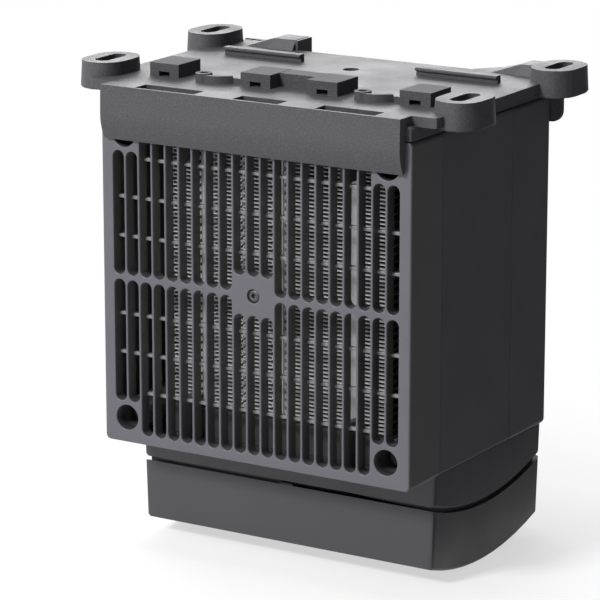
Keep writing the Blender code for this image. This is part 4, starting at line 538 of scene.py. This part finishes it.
def guard_outline(ring, spoke):
    """One opening of the fan's guard, between two spokes, as a function from growth to outline."""
    inner = GUARD_FIRST + ring * GUARD_STEP
    outer = inner + GUARD_SLOT
    first = 90 * (spoke + 0.5)

    def outline(growth):
        points = []
        for radius, turn in ((outer + growth, 1), (inner - growth, -1)):
            trim = math.degrees((GUARD_HALF_SPOKE - growth) / radius)
            ends = (first + trim, first + 90 - trim)
            points += arc((0, MIDDLE_Z), radius, *ends[::turn], 28)
        return points

    return outline


def fine_rear():
    """The case's rear section, with round rings in its guard and a soft outer edge."""
    half_width = HALF_WIDTH - BACK_INSET
    outer = rounded_rectangle((-half_width, BACK_INSET), (half_width, CASE_HEIGHT - BACK_INSET), PANEL_CORNER)
    holes = [guard_outline(ring, spoke) for ring in range(4) for spoke in range(4)]
    for i in (-1, 1):
        for j in (-1, 1):
            holes.append(round_outline((i * SCREW_HOLE_PLACE, MIDDLE_Z + j * SCREW_HOLE_PLACE), SCREW_HOLE))
    meshes = pierced_panel(outer, holes, BACK_FRONT, BACK_BACK, BACK_ROUND)
    rim = [(0.0028, 0.102)] + arc((CASE_CORNER, 0.1), CASE_CORNER, 90, 180, 6) + [
        (0, 0.0739), (0.0006, 0.0733), (0.00075, 0.0733), (0.00075, 0.0752), (0.0018, 0.0752),
        (0.0018, 0.1005), (0.0028, 0.1005),
    ]
    meshes.append(skin([case_section(inset, y) for inset, y in rim], ring=True))
    piece("fine_rear", meshes, "case_plastic", ("rear_housing",))


fine_grille()
fine_fins()
fine_screw()
fine_rear()


def softbox(name, place, aim, size, power):
    """A lamp the shape of a rectangle, turned to a point."""
    light = bpy.data.lights.new(name, "AREA")
    light.shape = "RECTANGLE"
    light.size, light.size_y = size
    light.energy = power
    lamp = bpy.data.objects.new(name, light)
    lamp.location = place
    lamp.rotation_euler = (Vector(aim) - Vector(place)).to_track_quat("-Z", "Y").to_euler()
    scene.collection.objects.link(lamp)
    lamp.visible_camera = False


softbox("key", (-0.46, -1.52, 1.15), (0, 0, 0.09), (0.4, 0.3), 35.0)
softbox("left", (-1.6, -0.35, 0.6), (0, 0, 0.12), (0.5, 0.5), 8.0)
softbox("top", (-0.1, 0.0, 1.5), (0, 0, 0.1), (0.7, 0.5), 7.0)
softbox("rim", (-1.0, 1.35, 0.8), (0, 0, 0.17), (1.6, 0.7), 20.0)


def dark_card(name, corners):
    """A black card that only mirror rays see: the case's side reflects it, as in a dark room."""
    mesh = bpy.data.meshes.new(name)
    mesh.from_pydata(corners, [], [(0, 1, 2, 3)])
    card = bpy.data.objects.new(name, mesh)
    scene.collection.objects.link(card)
    material, nodes, links = new_material(name + "_black")
    nodes["Principled BSDF"].inputs["Base Color"].default_value = (*CARD_BLACK, 1)
    nodes["Principled BSDF"].inputs["Specular IOR Level"].default_value = 0.0
    mesh.materials.append(material)
    card.visible_camera = False
    card.visible_diffuse = False
    card.visible_shadow = False
    card.visible_transmission = False


dark_card("side_card", [(0.25, -0.35, 0.0), (0.25, 1.2, 0.0), (0.25, 1.2, 0.9), (0.25, -0.35, 0.9)])
dark_card("side_floor_card",
          [(0.08, -0.3, 0.001), (0.25, -0.3, 0.001), (0.25, 1.2, 0.001), (0.08, 1.2, 0.001)])


def seen_directly(nodes, links):
    """1 for what the camera sees itself, in a mirror or through glass, and 0 for light on other things."""
    path = nodes.new("ShaderNodeLightPath")
    seen = larger_of(nodes, links, path.outputs["Is Camera Ray"], path.outputs["Is Glossy Ray"])
    return larger_of(nodes, links, seen, path.outputs["Is Transmission Ray"])


def floor_material():
    """Pale floor near the object, which turns to plain white further out."""
    material, nodes, links = new_material("floor_paper")
    shader = nodes["Principled BSDF"]
    shader.inputs["Base Color"].default_value = (*FLOOR_WHITE, 1)
    shader.inputs["Roughness"].default_value = 0.9
    shader.inputs["Specular IOR Level"].default_value = 0.0
    place = nodes.new("ShaderNodeTexCoord")
    distance = nodes.new("ShaderNodeVectorMath")
    distance.operation = "LENGTH"
    links.new(place.outputs["Object"], distance.inputs[0])
    far = nodes.new("ShaderNodeMapRange")
    far.interpolation_type = "SMOOTHSTEP"
    far.inputs["From Min"].default_value = 0.06
    far.inputs["From Max"].default_value = 0.24
    far.inputs["To Min"].default_value = 0.6
    links.new(distance.outputs["Value"], far.inputs["Value"])
    factor = nodes.new("ShaderNodeMath")
    factor.operation = "MULTIPLY"
    links.new(far.outputs["Result"], factor.inputs[0])
    links.new(seen_directly(nodes, links), factor.inputs[1])
    white = nodes.new("ShaderNodeEmission")
    white.inputs["Strength"].default_value = 1.0
    blend = nodes.new("ShaderNodeMixShader")
    links.new(factor.outputs[0], blend.inputs[0])
    links.new(shader.outputs["BSDF"], blend.inputs[1])
    links.new(white.outputs["Emission"], blend.inputs[2])
    links.new(blend.outputs["Shader"], nodes["Material Output"].inputs["Surface"])
    return material


def world_light(strength):
    """A white world to look at, which lights the object only this strongly."""
    world = bpy.data.worlds.new("studio")
    scene.world = world
    world.use_nodes = True
    nodes, links = world.node_tree.nodes, world.node_tree.links
    dim = nodes["Background"]
    dim.inputs["Color"].default_value = (1, 1, 1, 1)
    dim.inputs["Strength"].default_value = strength
    white = nodes.new("ShaderNodeBackground")
    white.inputs["Strength"].default_value = 1.0
    blend = nodes.new("ShaderNodeMixShader")
    links.new(seen_directly(nodes, links), blend.inputs[0])
    links.new(dim.outputs["Background"], blend.inputs[1])
    links.new(white.outputs["Background"], blend.inputs[2])
    links.new(blend.outputs["Shader"], nodes["World Output"].inputs["Surface"])


world_light(WORLD_STRENGTH)

mesh = bpy.data.meshes.new("floor")
mesh.from_pydata([(-4, -4, 0), (4, -4, 0), (4, 4, 0), (-4, 4, 0)], [], [(0, 1, 2, 3)])
floor = bpy.data.objects.new("floor", mesh)
scene.collection.objects.link(floor)
mesh.materials.append(floor_material())

camera_data = bpy.data.cameras.new("camera")
camera_data.lens = CAMERA_LENS
camera_data.sensor_width = 36.0
camera = bpy.data.objects.new("camera", camera_data)
scene.collection.objects.link(camera)
camera.location = CAMERA_PLACE
camera.rotation_euler = (math.radians(90 - CAMERA_ELEVATION), 0, math.radians(CAMERA_AZIMUTH))
scene.camera = camera
